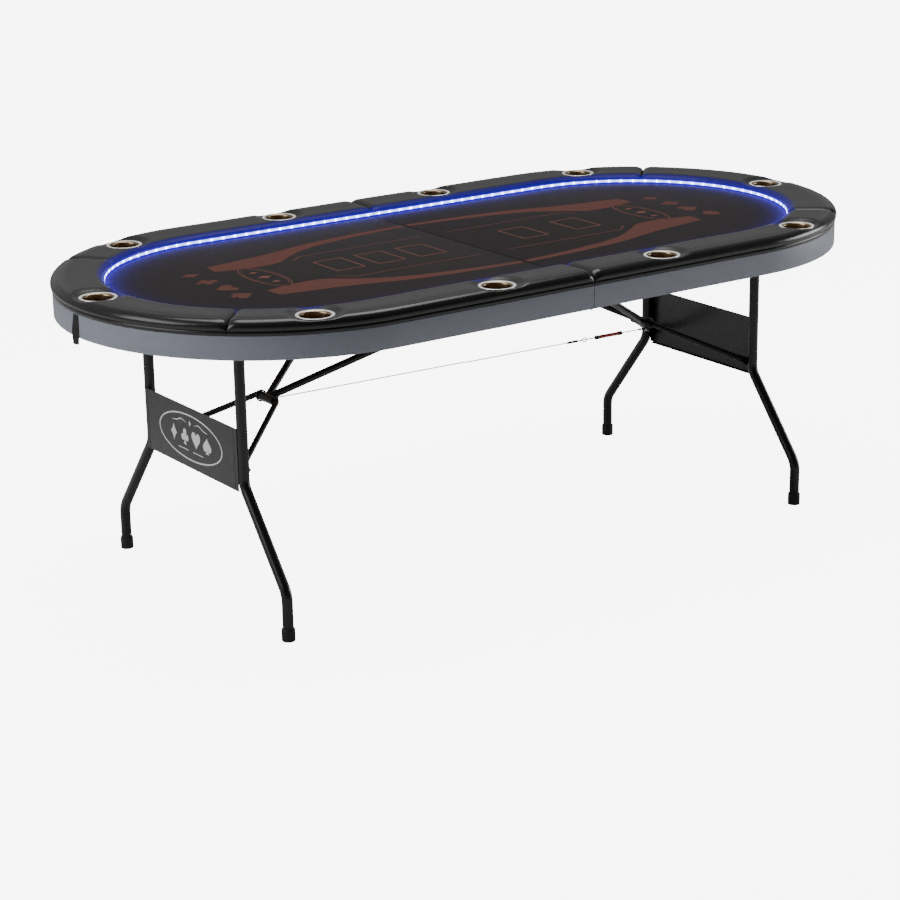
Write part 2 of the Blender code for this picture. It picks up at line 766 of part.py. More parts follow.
def upper_brace_mesh(side):
    """V of two arms from the knuckle sleeve up to the two brackets under the deck."""
    length = (KNUCKLE - BRACE_TOP).length
    knuckle = Vector((side * KNUCKLE.x, 0, KNUCKLE.y))
    sleeve = cylinder(
        knuckle - Vector((0, KNUCKLE_SLEEVE_HALF, 0)),
        knuckle + Vector((0, KNUCKLE_SLEEVE_HALF, 0)),
        KNUCKLE_SLEEVE_RADIUS,
    )
    near_top = UPPER_TAB_LENGTH / length
    stop = UPPER_TUBE_STOP / length
    bent_y = BRACE_TOP_Y - UPPER_TUBE_BEND_ASIDE
    end_y = BRACE_TOP_Y - UPPER_TUBE_END_ASIDE
    path = [
        brace_point(side, BRACE_TOP, KNUCKLE, stop, -end_y),
        brace_point(side, BRACE_TOP, KNUCKLE, near_top, -bent_y),
        knuckle,
        brace_point(side, BRACE_TOP, KNUCKLE, near_top, bent_y),
        brace_point(side, BRACE_TOP, KNUCKLE, stop, end_y),
    ]
    solids = [sleeve]
    cuts = []
    bore_radius = running_radius(BRACE_PIN_RADIUS, SMALL_SEGMENTS)
    top = Vector((side * BRACE_TOP.x, 0, BRACE_TOP.y))
    plate_end = brace_point(side, BRACE_TOP, KNUCKLE, near_top, 0)
    for sign in (-1, 1):
        y_low = sign * BRACE_TOP_Y - TAB_THICKNESS / 2
        y_high = sign * BRACE_TOP_Y + TAB_THICKNESS / 2
        solids.append(strip_plate(top, plate_end, UPPER_TAB_HALF_WIDTH, y_low, y_high))
        solids.append(flat_disc(top, UPPER_TAB_EYE_RADIUS, y_low, y_high))
        cuts.append(flat_disc(top, bore_radius, y_low - CUT_MARGIN, y_high + CUT_MARGIN))
    return combine(tube(path, UPPER_ARM_RADIUS, 3), joined=solids, cut=cuts)


def lower_arm_mesh(side, sign):
    """Arm from the knuckle's ear down to the pin on the leg tube."""
    length = (KNUCKLE - BRACE_FOOT).length
    knuckle = Vector((side * KNUCKLE.x, 0, KNUCKLE.y))
    foot = Vector((side * BRACE_FOOT.x, 0, BRACE_FOOT.y))
    ear_inner = KNUCKLE_SLEEVE_HALF + FIT_GAP
    ear_outer = ear_inner + KNUCKLE_EAR_THICKNESS
    ear_lows = sorted((sign * ear_inner, sign * ear_outer))
    head_lows = sorted((sign * (ear_outer - OVERLAP), sign * (ear_outer + RIVET_HEIGHT)))
    tab_lows = (sign * TAB_Y - TAB_THICKNESS / 2, sign * TAB_Y + TAB_THICKNESS / 2)

    arm_y = ear_outer + LOWER_ARM_RADIUS - OVERLAP
    near_foot = LOWER_TAB_LENGTH / length
    stop = LOWER_TUBE_STOP / length
    path = [
        brace_point(side, BRACE_FOOT, KNUCKLE, 1.0, sign * arm_y),
        brace_point(side, BRACE_FOOT, KNUCKLE, near_foot, sign * (TAB_Y - LOWER_TUBE_BEND_ASIDE)),
        brace_point(side, BRACE_FOOT, KNUCKLE, stop, sign * (TAB_Y - LOWER_TUBE_END_ASIDE)),
    ]
    tab_end = brace_point(side, BRACE_FOOT, KNUCKLE, near_foot, 0)
    bore_radius = running_radius(TAB_PIN_RADIUS, SMALL_SEGMENTS)
    return combine(
        tube(path, LOWER_ARM_RADIUS, 3),
        joined=[
            flat_disc(knuckle, KNUCKLE_SLEEVE_RADIUS, *ear_lows),
            flat_disc(knuckle, RIVET_RADIUS, *head_lows),
            strip_plate(foot, tab_end, LOWER_TAB_HALF_WIDTH, *tab_lows),
            flat_disc(foot, LOWER_TAB_EYE_RADIUS, *tab_lows),
        ],
        cut=[flat_disc(foot, bore_radius, tab_lows[0] - CUT_MARGIN, tab_lows[1] + CUT_MARGIN)],
    )


def add_braces(side, word, materials, body_pivot, upper_pivot, lower_pivot):
    """Knuckle brace of one leg frame and the brackets that hold its upper arms."""
    black = materials["frame_black"]
    add_piece(f"{word}_upper_brace", upper_brace_mesh(side), black, upper_pivot, smooth=True)
    for end, sign in (("near", -1), ("far", 1)):
        arm = lower_arm_mesh(side, sign)
        add_piece(f"{word}_{end}_lower_arm", arm, black, lower_pivot, smooth=True)
        bracket = clevis_mesh(
            Vector((side * BRACE_TOP.x, sign * BRACE_TOP_Y, BRACE_TOP.y)),
            half_gap=0.0032,
            ear_sheet=0.0025,
            reach=0.016,
            ear_radius=0.009,
            pin=BRACE_PIN_RADIUS,
        )
        add_piece(f"{word}_{end}_brace_bracket", bracket, materials["zinc"], body_pivot)


# Tension cable ---------------------------------------------------------------
def cable_point(side, distance):
    """Point of a half cable, a given distance from the table's middle."""
    share = distance / KNUCKLE.x
    aside = CABLE_SIDE_AT_MIDDLE + (CABLE_SIDE_AT_KNUCKLE - CABLE_SIDE_AT_MIDDLE) * share
    return Vector((side * distance, -side * aside, KNUCKLE.y - CABLE_DROP))


def cable_mesh(side):
    """Half of the steel cable, with the eye that hangs on the knuckle sleeve."""
    wire = cylinder(
        cable_point(side, FOLD_GAP),
        cable_point(side, KNUCKLE.x),
        CABLE_RADIUS,
        SMALL_SEGMENTS,
    )
    y_middle = -side * CABLE_SIDE_AT_KNUCKLE
    centre = Vector((side * KNUCKLE.x, 0, KNUCKLE.y))
    y_low = y_middle - CABLE_EYE_HALF_THICKNESS
    y_high = y_middle + CABLE_EYE_HALF_THICKNESS
    eye = flat_disc(centre, CABLE_DROP + CABLE_EYE_RIM, y_low, y_high)
    bore_radius = running_radius(KNUCKLE_SLEEVE_RADIUS, ROUND_SEGMENTS)
    bore = flat_disc(centre, bore_radius, y_low - CUT_MARGIN, y_high + CUT_MARGIN)
    joined = [eye]
    if side > 0:
        joined.append(
            cylinder(
                cable_point(side, FERRULE_START),
                cable_point(side, FERRULE_END),
                FERRULE_RADIUS,
                SMALL_SEGMENTS,
            )
        )
        ring = cable_point(side, HOOK_RING_X) + Vector((0, 0, HOOK_RING_LIFT))
        half = HOOK_RING_THICKNESS / 2
        joined.append(flat_disc(ring, HOOK_RING_RADIUS, ring.y - half, ring.y + half))
    return combine(wire, joined=joined, cut=[bore])


def turnbuckle_mesh():
    """Hollow sleeve that turns on the cable to tighten it."""
    start = cable_point(1, TURNBUCKLE_START)
    end = cable_point(1, TURNBUCKLE_END)
    along = (end - start).normalized()
    ends = [
        cylinder(start, start + along * TURNBUCKLE_CAP_LENGTH, TURNBUCKLE_RADIUS),
        cylinder(end - along * TURNBUCKLE_CAP_LENGTH, end, TURNBUCKLE_RADIUS),
    ]
    into_cap = along * (TURNBUCKLE_CAP_LENGTH - OVERLAP)
    body = cylinder(start + into_cap, end - into_cap, TURNBUCKLE_WAIST_RADIUS)
    past_end = along * CUT_MARGIN
    bore = cylinder(start - past_end, end + past_end, TURNBUCKLE_BORE, SMALL_SEGMENTS)
    return combine(body, joined=ends, cut=[bore])


# Fold hinges, strap and light supply ------------------------------------------
def fold_leaf_mesh(side, sign):
    """One leaf of a fold hinge, screwed to the apron's inner face.

    The right leaf carries the hinge pin and lies beside the left leaf's eye.
    """
    apron_face = END_RADIUS - APRON_INSET - APRON_THICKNESS
    axis = Vector((0, 0, APRON_BOTTOM))
    outer = apron_face - FOLD_LEAF_STANDOFF
    middle = outer - FOLD_LEAF_THICKNESS
    inner = middle - FIT_GAP - FOLD_LEAF_THICKNESS
    ends = sorted((side * FOLD_LEAF_START, side * FOLD_LEAF_LENGTH))
    if side < 0:
        lows = sorted((sign * middle, sign * outer))
        thick = lows
        pin = []
        bore = (lows[0] - CUT_MARGIN, lows[1] + CUT_MARGIN)
        cut = [flat_disc(axis, FOLD_PIN_RADIUS + FIT_GAP, *bore)]
    else:
        lows = sorted((sign * inner, sign * (middle - FIT_GAP)))
        thick = sorted((sign * inner, sign * outer))
        pin_lows = sorted((sign * (inner + OVERLAP), sign * (outer - FOLD_PIN_END_GAP)))
        pin = [flat_disc(axis, FOLD_PIN_RADIUS, *pin_lows)]
        cut = []
    neck_end = axis + Vector((side * FOLD_NECK_RUN, 0, FOLD_NECK_RISE))
    plate = box(
        (ends[0], thick[0], APRON_BOTTOM + FOLD_LEAF_LOW),
        (ends[1], thick[1], APRON_BOTTOM + FOLD_LEAF_HIGH),
    )
    neck = strip_plate(axis, neck_end, FOLD_NECK_HALF_WIDTH, *lows)
    eye = flat_disc(axis, FOLD_EYE_RADIUS, *lows)
    return combine(plate, joined=[neck, eye, *pin], cut=cut)


def add_fold_hinges(materials, fold_pivot):
    """Two hinges, one inside each side apron, whose shared axis is the fold line."""
    for end, sign in (("near", -1), ("far", 1)):
        left = fold_leaf_mesh(-1, sign)
        add_piece(f"left_{end}_fold_leaf", left, materials["zinc"])
        right = fold_leaf_mesh(1, sign)
        add_piece(f"right_{end}_fold_leaf", right, materials["zinc"], fold_pivot)


def strap_axis():
    """Point on the line that the strap hangs from, just outside the left end's apron."""
    x = -(LENGTH / 2 - APRON_INSET + STRAP_STANDOFF + STRAP_THICKNESS / 2)
    return Vector((x, 0, APRON_TOP - STRAP_STANDOFF - STRAP_THICKNESS / 2))


def add_strap(materials, pivot):
    """Closing strap that hangs at the left end."""
    axis = world_place(pivot)
    strap = box(
        (axis.x - STRAP_THICKNESS / 2, -STRAP_WIDTH / 2, STRAP_BOTTOM),
        (axis.x + STRAP_THICKNESS / 2, STRAP_WIDTH / 2, axis.z + STRAP_THICKNESS / 2),
    )
    add_piece("closing_strap", strap, materials["strap"], pivot)


def add_light_supply(materials, rocker_pivot):
    """Battery box under the left deck, with the rocker that switches the lights."""
    top = DECK_UNDERSIDE - FIT_GAP
    centre = Vector((SUPPLY_X, 0, top - SUPPLY_SIZE.z / 2))
    case = box(centre - SUPPLY_SIZE / 2, centre + SUPPLY_SIZE / 2)
    rocker_centre = world_place(rocker_pivot)
    pocket_half = ROCKER_SIZE / 2 + ROCKER_CLEARANCE
    pocket = box(rocker_centre - pocket_half, rocker_centre + pocket_half)
    add_piece("battery_box", combine(case, cut=[pocket]), materials["plastic"])
    rocker = box(-ROCKER_SIZE / 2, ROCKER_SIZE / 2)
    rocker.transform(Matrix.Translation(rocker_centre) @ Matrix.Rotation(-ROCKER_TILT, 4, "Y"))
    add_piece("light_switch_rocker", rocker, materials["turnbuckle"], rocker_pivot)


def rocker_axis():
    """Centre of the light switch, in the underside of the battery box."""
    bottom = DECK_UNDERSIDE - FIT_GAP - SUPPLY_SIZE.z
    return Vector((SUPPLY_X, ROCKER_Y, bottom + ROCKER_SIZE.z / 2 - ROCKER_PROUD))


# Whole table -----------------------------------------------------------------
def add_half(side, word, materials, body_pivot):
    """One half of the table with its folding leg frame, brace and half cable."""
    leg_pivot = make_pivot(f"{word}_leg_axis", Vector((side * LEG_X, 0, LEG_PIVOT_Z)), body_pivot)
    upper_place = Vector((side * BRACE_TOP.x, 0, BRACE_TOP.y))
    upper_pivot = make_pivot(f"{word}_upper_brace_axis", upper_place, body_pivot)
    lower_place = Vector((side * BRACE_FOOT.x, 0, BRACE_FOOT.y))
    lower_pivot = make_pivot(f"{word}_lower_brace_axis", lower_place, leg_pivot)
    knuckle_place = Vector((side * KNUCKLE.x, 0, KNUCKLE.y))
    cable_pivot = make_pivot(f"{word}_knuckle_axis", knuckle_place, upper_pivot)

    add_table_top(side, word, materials, body_pivot)
    add_leg_frame(side, word, materials, body_pivot, leg_pivot)
    add_braces(side, word, materials, body_pivot, upper_pivot, lower_pivot)
    add_piece(f"{word}_cable", cable_mesh(side), materials["cable"], cable_pivot, smooth=True)
    return cable_pivot


def main():
    clear_scene()
    materials = make_materials()
    fold_pivot = make_pivot("fold_axis", Vector((0, 0, APRON_BOTTOM)))
    add_half(-1, "left", materials, None)
    right_cable_pivot = add_half(1, "right", materials, fold_pivot)
    turnbuckle_axis = make_pivot(
        "turnbuckle_axis", cable_point(1, TURNBUCKLE_START), right_cable_pivot
    )
    sleeve = turnbuckle_mesh()
    add_piece("turnbuckle_sleeve", sleeve, materials["turnbuckle"], turnbuckle_axis, smooth=True)
    add_fold_hinges(materials, fold_pivot)
    add_strap(materials, make_pivot("strap_axis", strap_axis()))
    add_light_supply(materials, make_pivot("rocker_axis", rocker_axis()))
    bpy.context.view_layer.update()


main()
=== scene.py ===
"""Visual model of the folding oval card table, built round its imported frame.

Units are metres and +Z is up.  A shape is stated for the right half and mirrored to the
left one through `side`, which is -1 on the left and +1 on the right.
"""

import json
import math

import bmesh
import bpy
from mathutils import Matrix, Vector, noise

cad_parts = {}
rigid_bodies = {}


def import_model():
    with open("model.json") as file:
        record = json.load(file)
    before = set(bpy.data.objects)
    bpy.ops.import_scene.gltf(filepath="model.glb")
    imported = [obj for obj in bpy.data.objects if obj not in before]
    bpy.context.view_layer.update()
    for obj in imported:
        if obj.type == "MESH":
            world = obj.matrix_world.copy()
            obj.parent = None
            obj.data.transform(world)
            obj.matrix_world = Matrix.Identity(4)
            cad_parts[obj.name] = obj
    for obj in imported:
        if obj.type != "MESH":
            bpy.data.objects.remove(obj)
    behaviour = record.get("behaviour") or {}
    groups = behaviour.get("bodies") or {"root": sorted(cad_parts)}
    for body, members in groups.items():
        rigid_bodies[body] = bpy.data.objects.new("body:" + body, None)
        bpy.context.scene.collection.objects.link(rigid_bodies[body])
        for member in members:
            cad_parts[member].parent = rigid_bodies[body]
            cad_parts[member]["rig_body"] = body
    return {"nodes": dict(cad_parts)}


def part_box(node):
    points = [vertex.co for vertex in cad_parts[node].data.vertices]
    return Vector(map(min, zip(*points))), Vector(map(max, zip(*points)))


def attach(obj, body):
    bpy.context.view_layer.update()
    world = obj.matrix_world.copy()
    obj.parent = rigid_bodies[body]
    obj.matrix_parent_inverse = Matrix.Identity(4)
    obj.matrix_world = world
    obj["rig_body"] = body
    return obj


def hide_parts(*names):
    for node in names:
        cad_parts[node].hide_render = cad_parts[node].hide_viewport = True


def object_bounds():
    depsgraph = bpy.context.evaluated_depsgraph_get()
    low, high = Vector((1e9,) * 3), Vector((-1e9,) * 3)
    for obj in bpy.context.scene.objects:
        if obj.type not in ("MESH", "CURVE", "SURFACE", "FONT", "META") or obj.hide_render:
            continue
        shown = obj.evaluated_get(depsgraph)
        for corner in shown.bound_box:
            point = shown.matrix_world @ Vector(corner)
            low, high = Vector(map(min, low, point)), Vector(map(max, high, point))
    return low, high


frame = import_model()
CAD_LOW, CAD_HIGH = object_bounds()

SIDES = ((-1, "left"), (1, "right"))
ENDS = ((-1, "near"), (1, "far"))
QUARTER = math.pi / 2
ALONG_X, ALONG_Y, ALONG_Z = (1, 0, 0), (0, 1, 0), (0, 0, 1)
DOWN = (0, 0, -1)
WELD_DISTANCE = 0.000002

# Table top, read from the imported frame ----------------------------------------
HALF_WIDTH = CAD_HIGH.y
END_CENTRE = CAD_HIGH.x - HALF_WIDTH
TOP = CAD_HIGH.z
FOLD_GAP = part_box("right_near_rail")[0].x
RAIL_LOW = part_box("left_near_rail")[0].z
FELT_LOW, FELT_TOP = (corner.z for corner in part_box("left_felt_pad"))
STRIP_LOW, STRIP_TOP = (corner.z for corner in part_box("left_light_strip"))
STRIP_MIDDLE = (STRIP_LOW + STRIP_TOP) / 2
APRON_LOW, APRON_TOP = (corner.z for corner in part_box("left_apron"))
DECK_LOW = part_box("left_deck_board")[0].z
APRON_INSET = HALF_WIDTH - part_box("left_apron")[1].y
WALL_INSET = HALF_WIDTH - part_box("left_felt_pad")[1].y
APRON_SHEET = 0.009
STRIP_SHEET = 0.0008
ARC_STEPS = 150

# Padded rails -------------------------------------------------------------------
RAIL_WIDTH = 0.1234
SEAM_ANGLE = math.radians(47.0)
SEAM_GAP = 0.0004
RAIL_MIDDLE_RADIUS = 0.46
# (inset, height) of the wrapped band at the foot of the rail and the groove above it.
BASE_BAND = ((0.0046, 0.0), (0.0034, 0.0010), (0.0029, 0.0032), (0.0027, 0.0062),
             (0.0030, 0.0080), (0.0046, 0.0093), (0.0049, 0.0099), (0.0032, 0.0107),
             (0.0016, 0.0120))
PAD_LOW = RAIL_LOW + 0.0085
SHOULDER_LOW = RAIL_LOW + 0.0177
SHOULDER_START = -0.35
SHOULDER_WIDTH = 0.0205
SHOULDER_HEIGHT = 0.0184
INNER_WIDTH = 0.0260
INNER_HEIGHT = 0.0150
INNER_FALL = 0.0020
INNER_TOP = TOP - INNER_FALL
CREST_SHARE = 0.16
CREASE_LENGTH = 0.022
CREASE_DEPTH = 0.0130
OUTER_PULL_WIDTH = 0.030
INNER_PULL_WIDTH = 0.020
TUCK_MARKS = [0.0, 0.0008, 0.0018, 0.0032, 0.0050, 0.0072, 0.0100, 0.0135, 0.0180]
PAD_SPACING = 0.0048
SWELL_ZONE = 0.012
SWELL_HEIGHT = 0.0006
CUP_DIP_RADIUS = 0.072
CUP_RIM_RADIUS = 0.0462
CUP_HOLE_RADIUS = 0.0372

# Cup holders --------------------------------------------------------------------
CUP_FLOOR, CUP_FLANGE_TOP = (corner.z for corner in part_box("left_end_cup"))
CUP_FLANGE_RADIUS = 0.0432
CUP_MOUTH_RADIUS = CUP_FLANGE_RADIUS - 0.0030
CUP_MOUTH_DEPTH = 0.0058
CUP_RADIUS = 0.0345
CUP_WALL = 0.0016

# Light strip --------------------------------------------------------------------
LAMP_WALL_RADIUS = HALF_WIDTH - WALL_INSET - 0.0007
LAMP_RUN = 2 * END_CENTRE + math.pi * LAMP_WALL_RADIUS
LAMP_COUNT = 70
LAMP_PITCH = LAMP_RUN / LAMP_COUNT
LAMP_SIZE = 0.005
LAMP_RISE = 0.0009

# Leg frames ---------------------------------------------------------------------
LEG_X = sum(corner.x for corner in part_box("right_near_foot_cap")) / 2
TUBE_RADIUS = 0.0127
TUBE_BEND_RADIUS = 0.055
TUBE_Y_TOP = 0.2155
TUBE_Y_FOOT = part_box("right_far_foot_cap")[0].y + 0.0158
PIVOT_Z = 0.690
UPPER_BEND_Z = 0.3225
LOWER_BEND_Z = 0.1105
PANEL_LOW, PANEL_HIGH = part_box("left_leg_panel")
PANEL_FACE_X = max(abs(PANEL_LOW.x), abs(PANEL_HIGH.x))
PANEL_SHEET = 0.0015
PANEL_BEND = 0.0022
PANEL_FLANGE = 0.0085
PANEL_HALF_WIDTH = 0.202
ROD_REACH = 0.238

# Braces and cable ---------------------------------------------------------------
BRACE_TOP = Vector((0.079, 0.699))
BRACE_FOOT = Vector((LEG_X - 0.004, PIVOT_Z - 0.346))
BRACE_TOP_Y = 0.311
TAB_Y = 0.198
SLEEVE_RADIUS = 0.011
SLEEVE_HALF = 0.0335
EAR_GAP = 0.0003
EAR_SHEET = 0.004
UPPER_ARM_RADIUS = 0.0086
LOWER_ARM_RADIUS = 0.0070
FLAT_HALF_SHEET = 0.0024
CABLE_DROP = 0.0125
CABLE_SIDE_KNUCKLE = 0.0260
CABLE_SIDE_MIDDLE = 0.0018
ROPE_PITCH = 0.016
ROPE_LAY_RADIUS = 0.00095
SPLICE_START, SPLICE_END = 0.312, 0.345
HOOK_MIDDLE = 0.366
HOOK_RADIUS = 0.0052


def knuckle_place():
    """Knuckle of a brace whose arms are in line open and lie on each other folded."""
    folded = Vector((LEG_X - 0.346, PIVOT_Z + 0.004))
    reach = ((BRACE_FOOT - BRACE_TOP).length + (folded - BRACE_TOP).length) / 2
    return BRACE_TOP + (BRACE_FOOT - BRACE_TOP).normalized() * reach


KNUCKLE = knuckle_place()


# Curves and outlines ------------------------------------------------------------
def steps_between(first, last, count):
    """Evenly spaced numbers from first to last, both included."""
    return [first + (last - first) * step / count for step in range(count + 1)]


def eased(value):
    """0 to 1 with a smooth start and stop."""
    value = min(max(value, 0.0), 1.0)
    return value * value * (3 - 2 * value)


def circle(centre, across, above, count):
    """Points round a centre, on the ellipse that two vectors span."""
    turns = [math.tau * step / count for step in range(count)]
    return [Vector(centre) + across * math.cos(t) + above * math.sin(t) for t in turns]


def arc(centre, reach, first, last, count):
    """Points of a flat arc; reach is (half width, half height)."""
    return [(centre[0] + reach[0] * math.cos(angle), centre[1] + reach[1] * math.sin(angle))
            for angle in steps_between(first, last, count)]


def ellipse(centre, half_x, half_y, count=96):
    """Flat outline of an ellipse."""
    return arc(centre, (half_x, half_y), 0.0, math.tau, count)[:-1]


def rounded_box(centre, size, radius, steps=4):
    """Flat outline of a rectangle with rounded corners."""
    outline = []
    for index, (sx, sy) in enumerate(((1, 1), (-1, 1), (-1, -1), (1, -1))):
        corner = (centre[0] + sx * (size[0] / 2 - radius), centre[1] + sy * (size[1] / 2 - radius))
        outline += arc(corner, (radius, radius), index * QUARTER, (index + 1) * QUARTER, steps)
    return outline


def smooth_line(points, steps=8):
    """Curve through flat points."""
    line = []
    for index in range(len(points) - 1):
        p1, p2 = Vector(points[index]), Vector(points[index + 1])
        p0 = Vector(points[index - 1]) if index else p1 * 2 - p2
        p3 = Vector(points[index + 2]) if index + 2 < len(points) else p2 * 2 - p1
        for step in range(steps):
            t = step / steps
            bend = (p0 * 2 - p1 * 5 + p2 * 4 - p3) * t * t
            line.append((p1 * 2 + (p2 - p0) * t + bend + (p1 * 3 - p0 - p2 * 3 + p3) * t ** 3) / 2)
    return line + [Vector(points[-1])]


def rounded_path(points, radius, steps=14):
    """Polyline whose inner corners are replaced by arcs of the given radius."""
    path = [Vector(points[0])]
    for before, corner, after in zip(points, points[1:], points[2:]):
        corner = Vector(corner)
        back = (Vector(before) - corner).normalized()
        ahead = (Vector(after) - corner).normalized()
        half = back.angle(ahead) / 2
        centre = corner + (back + ahead).normalized() * (radius / math.sin(half))
        first = corner + back * (radius / math.tan(half)) - centre
        last = corner + ahead * (radius / math.tan(half)) - centre
        for share in steps_between(0.0, 1.0, steps):
            path.append(centre + first.slerp(last, share).normalized() * radius)
    return path + [Vector(points[-1])]


def ring_point(side, centre_x, angle, inset, z):
    """Point of an offset racetrack outline, mirrored to the left or right half."""
    radius = HALF_WIDTH - inset
    return Vector((side * (centre_x + radius * math.cos(angle)), radius * math.sin(angle), z))


def half_path(gap):
    """Stations (centre x, angle) round a half table, from fold to fold."""
    turns = [(END_CENTRE, angle) for angle in steps_between(QUARTER, -QUARTER, ARC_STEPS)]
    return [(gap, QUARTER), *turns, (gap, -QUARTER)]


def cup_places(word):
    """Name and centre of each cup holder of one half, from the frame."""
    names = ["end_cup"]
    for end in ("near", "far"):
        names += [f"{end}_corner_cup", f"{end}_side_cup"]
    return {name: sum(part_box(f"{word}_{name}"), Vector()) / 2 for name in names}


# Shapes and pieces --------------------------------------------------------------
class Shape:
    """Vertices and faces of one piece, gathered part by part."""

    def __init__(self):
        self.points, self.faces = [], []

    def add(self, points, faces):
        base = len(self.points)
        self.points.extend(tuple(point) for point in points)
        self.faces.extend([base + index for index in face] for face in faces)
        return self

    def grid(self, rows, round_rows=False, round_columns=True):
        """Quads between rows of points, closed at both ends unless a direction is round."""
        width = len(rows[0])
        faces = []
        for row in range(len(rows) if round_rows else len(rows) - 1):
            here, after = row * width, (row + 1) % len(rows) * width
            for column in range(width if round_columns else width - 1):
                beside = (column + 1) % width
                faces.append([here + column, here + beside, after + beside, after + column])
        if not round_rows:
            faces.append(list(range(width)))
            faces.append([(len(rows) - 1) * width + column for column in range(width)])
        return self.add([point for row in rows for point in row], faces)

    def tube(self, path, radii, axis, segments=24):
        """Tube along a path.  Each radius is one number, or (across, along axis)."""
        axis, rows = Vector(axis), []
        for index, point in enumerate(path):
            before, after = path[max(index - 1, 0)], path[min(index + 1, len(path) - 1)]
            ahead = (Vector(after) - Vector(before)).normalized()
            radius = radii[index] if isinstance(radii, list) else radii
            wide, tall = radius if isinstance(radius, tuple) else (radius, radius)
            up = (axis - ahead * axis.dot(ahead)).normalized()
            rows.append(circle(point, ahead.cross(up) * wide, up * tall, segments))
        return self.grid(rows)

    def lathe(self, profile, place, axis=ALONG_Z, segments=32):
        """Profile of (radius, height) points turned about an axis through a place."""
        turn = Vector(axis).to_track_quat("Z", "Y").to_matrix()
        place, up = Vector(place), turn @ Vector(ALONG_Z)
        outs = circle((0, 0, 0), turn @ Vector(ALONG_X), turn @ Vector(ALONG_Y), segments)
        rows = [[place + out * radius + up * height for radius, height in profile] for out in outs]
        closed = min(radius for radius, _ in profile) > 0
        return self.grid(rows, round_rows=True, round_columns=closed)

    def prism(self, outline, shift):
        """Flat outline of points, extruded along a vector."""
        outline = [Vector(point) for point in outline]
        return self.grid([outline, [point + Vector(shift) for point in outline]])

    def sweep(self, side, section):
        """Closed (inset, z) section swept round a half table."""
        return self.grid([[ring_point(side, x, angle, inset, z) for inset, z in section]
                          for x, angle in half_path(FOLD_GAP)])

    def block(self, low, high, bevel=0.0006, steps=2):
        """Box between two corners with rounded edges."""
        low, high = Vector(low), Vector(high)
        place = Matrix.Translation((low + high) / 2) @ Matrix.Diagonal((*(high - low), 1.0))
        work = bmesh.new()
        bmesh.ops.create_cube(work, size=1.0, matrix=place)
        round_over(work, work.edges, bevel, steps)
        work.verts.index_update()
        self.add([v.co for v in work.verts], [[v.index for v in face.verts] for face in work.faces])
        work.free()
        return self

    def hex_head(self, place, axis, radius, height, washer=0.0008):
        """Washer and hexagonal bolt head that stand on a place."""
        wide = radius * 1.25
        head = [(0, 0), (radius, washer), (radius, height * 0.82), (radius * 0.84, height), (0, height)]
        self.lathe([(0, 0), (wide, 0), (wide, washer), (0, washer)], place, axis, 24)
        return self.lathe(head, place, axis, 6)

    def screw(self, place, axis, radius):
        """Low domed screw head with a round drive recess."""
        rise = radius * 0.55
        profile = [(0, -0.0004), (radius, -0.0004), (radius, rise * 0.25), (radius * 0.82, rise * 0.75),
                   (radius * 0.45, rise), (radius * 0.38, rise), (radius * 0.34, rise * 0.3),
                   (0, rise * 0.3)]
        return self.lathe(profile, place, axis, 20)

    def mesh(self, smooth):
        """Welded mesh with its faces pointing out."""
        mesh = bpy.data.meshes.new("shape")
        mesh.from_pydata(self.points, [], self.faces)
        return finish_mesh(mesh, smooth)

    def piece(self, name, body, material, slot, replaces=(), smooth=35.0):
        return make_piece(name, self.mesh(smooth), body, material, replaces)


def round_over(work, edges, bevel, steps):
    bmesh.ops.bevel(work, geom=edges, offset=bevel, segments=steps, profile=0.5, affect="EDGES",
                    clamp_overlap=True)


def finish_mesh(mesh, smooth):
    """Weld a mesh, point its faces out and shade it smooth below an angle in degrees."""
    work = bmesh.new()
    work.from_mesh(mesh)
    bmesh.ops.remove_doubles(work, verts=work.verts, dist=WELD_DISTANCE)
    bmesh.ops.dissolve_degenerate(work, edges=work.edges, dist=WELD_DISTANCE / 2)
    bmesh.ops.recalc_face_normals(work, faces=work.faces)
    work.to_mesh(mesh)
    work.free()
    mesh.shade_smooth()
    mesh.set_sharp_from_angle(angle=math.radians(smooth))
    return mesh


def linked(name, data):
    """New object in the scene."""
    made = bpy.data.objects.new(name, data)
    bpy.context.scene.collection.objects.link(made)
    return made


def make_piece(name, mesh, body, material, replaces=()):
    """Object of the visual model that rides on a body of the frame."""
    mesh.name = name
    mesh.materials.clear()
    mesh.materials.append(material)
    piece = linked(name, mesh)
    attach(piece, body)
    if replaces:
        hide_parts(*replaces)
    return piece


def cut_out(mesh, cutter):
    """The mesh with the cutter's space taken away."""
    holder, tool = linked("cut_base", mesh), linked("cut_tool", cutter)
    modifier = holder.modifiers.new("cut", "BOOLEAN")
    modifier.operation = "DIFFERENCE"
    modifier.solver = "EXACT"
    modifier.object = tool
    bpy.context.view_layer.update()
    graph = bpy.context.evaluated_depsgraph_get()
    result = bpy.data.meshes.new_from_object(holder.evaluated_get(graph), depsgraph=graph)
    for helper in (holder, tool):
        bpy.data.objects.remove(helper, do_unlink=True)
    return result


def refined(node, material, bevel):
    """A hard CAD piece again, with its sharp edges rounded over."""
    work = bmesh.new()
    work.from_mesh(frame["nodes"][node].data)
    bmesh.ops.remove_doubles(work, verts=work.verts, dist=0.00001)
    bmesh.ops.dissolve_limit(work, angle_limit=math.radians(2.0), verts=work.verts, edges=work.edges)
    sharp = [e for e in work.edges if len(e.link_faces) == 2 and e.calc_face_angle() > 0.9]
    round_over(work, sharp, bevel, 2)
    clean = bpy.data.meshes.new(node)
    work.to_mesh(clean)
    work.free()
    body = frame["nodes"][node]["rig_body"]
    return make_piece(node + "_finished", finish_mesh(clean, 40.0), body, material, [node])


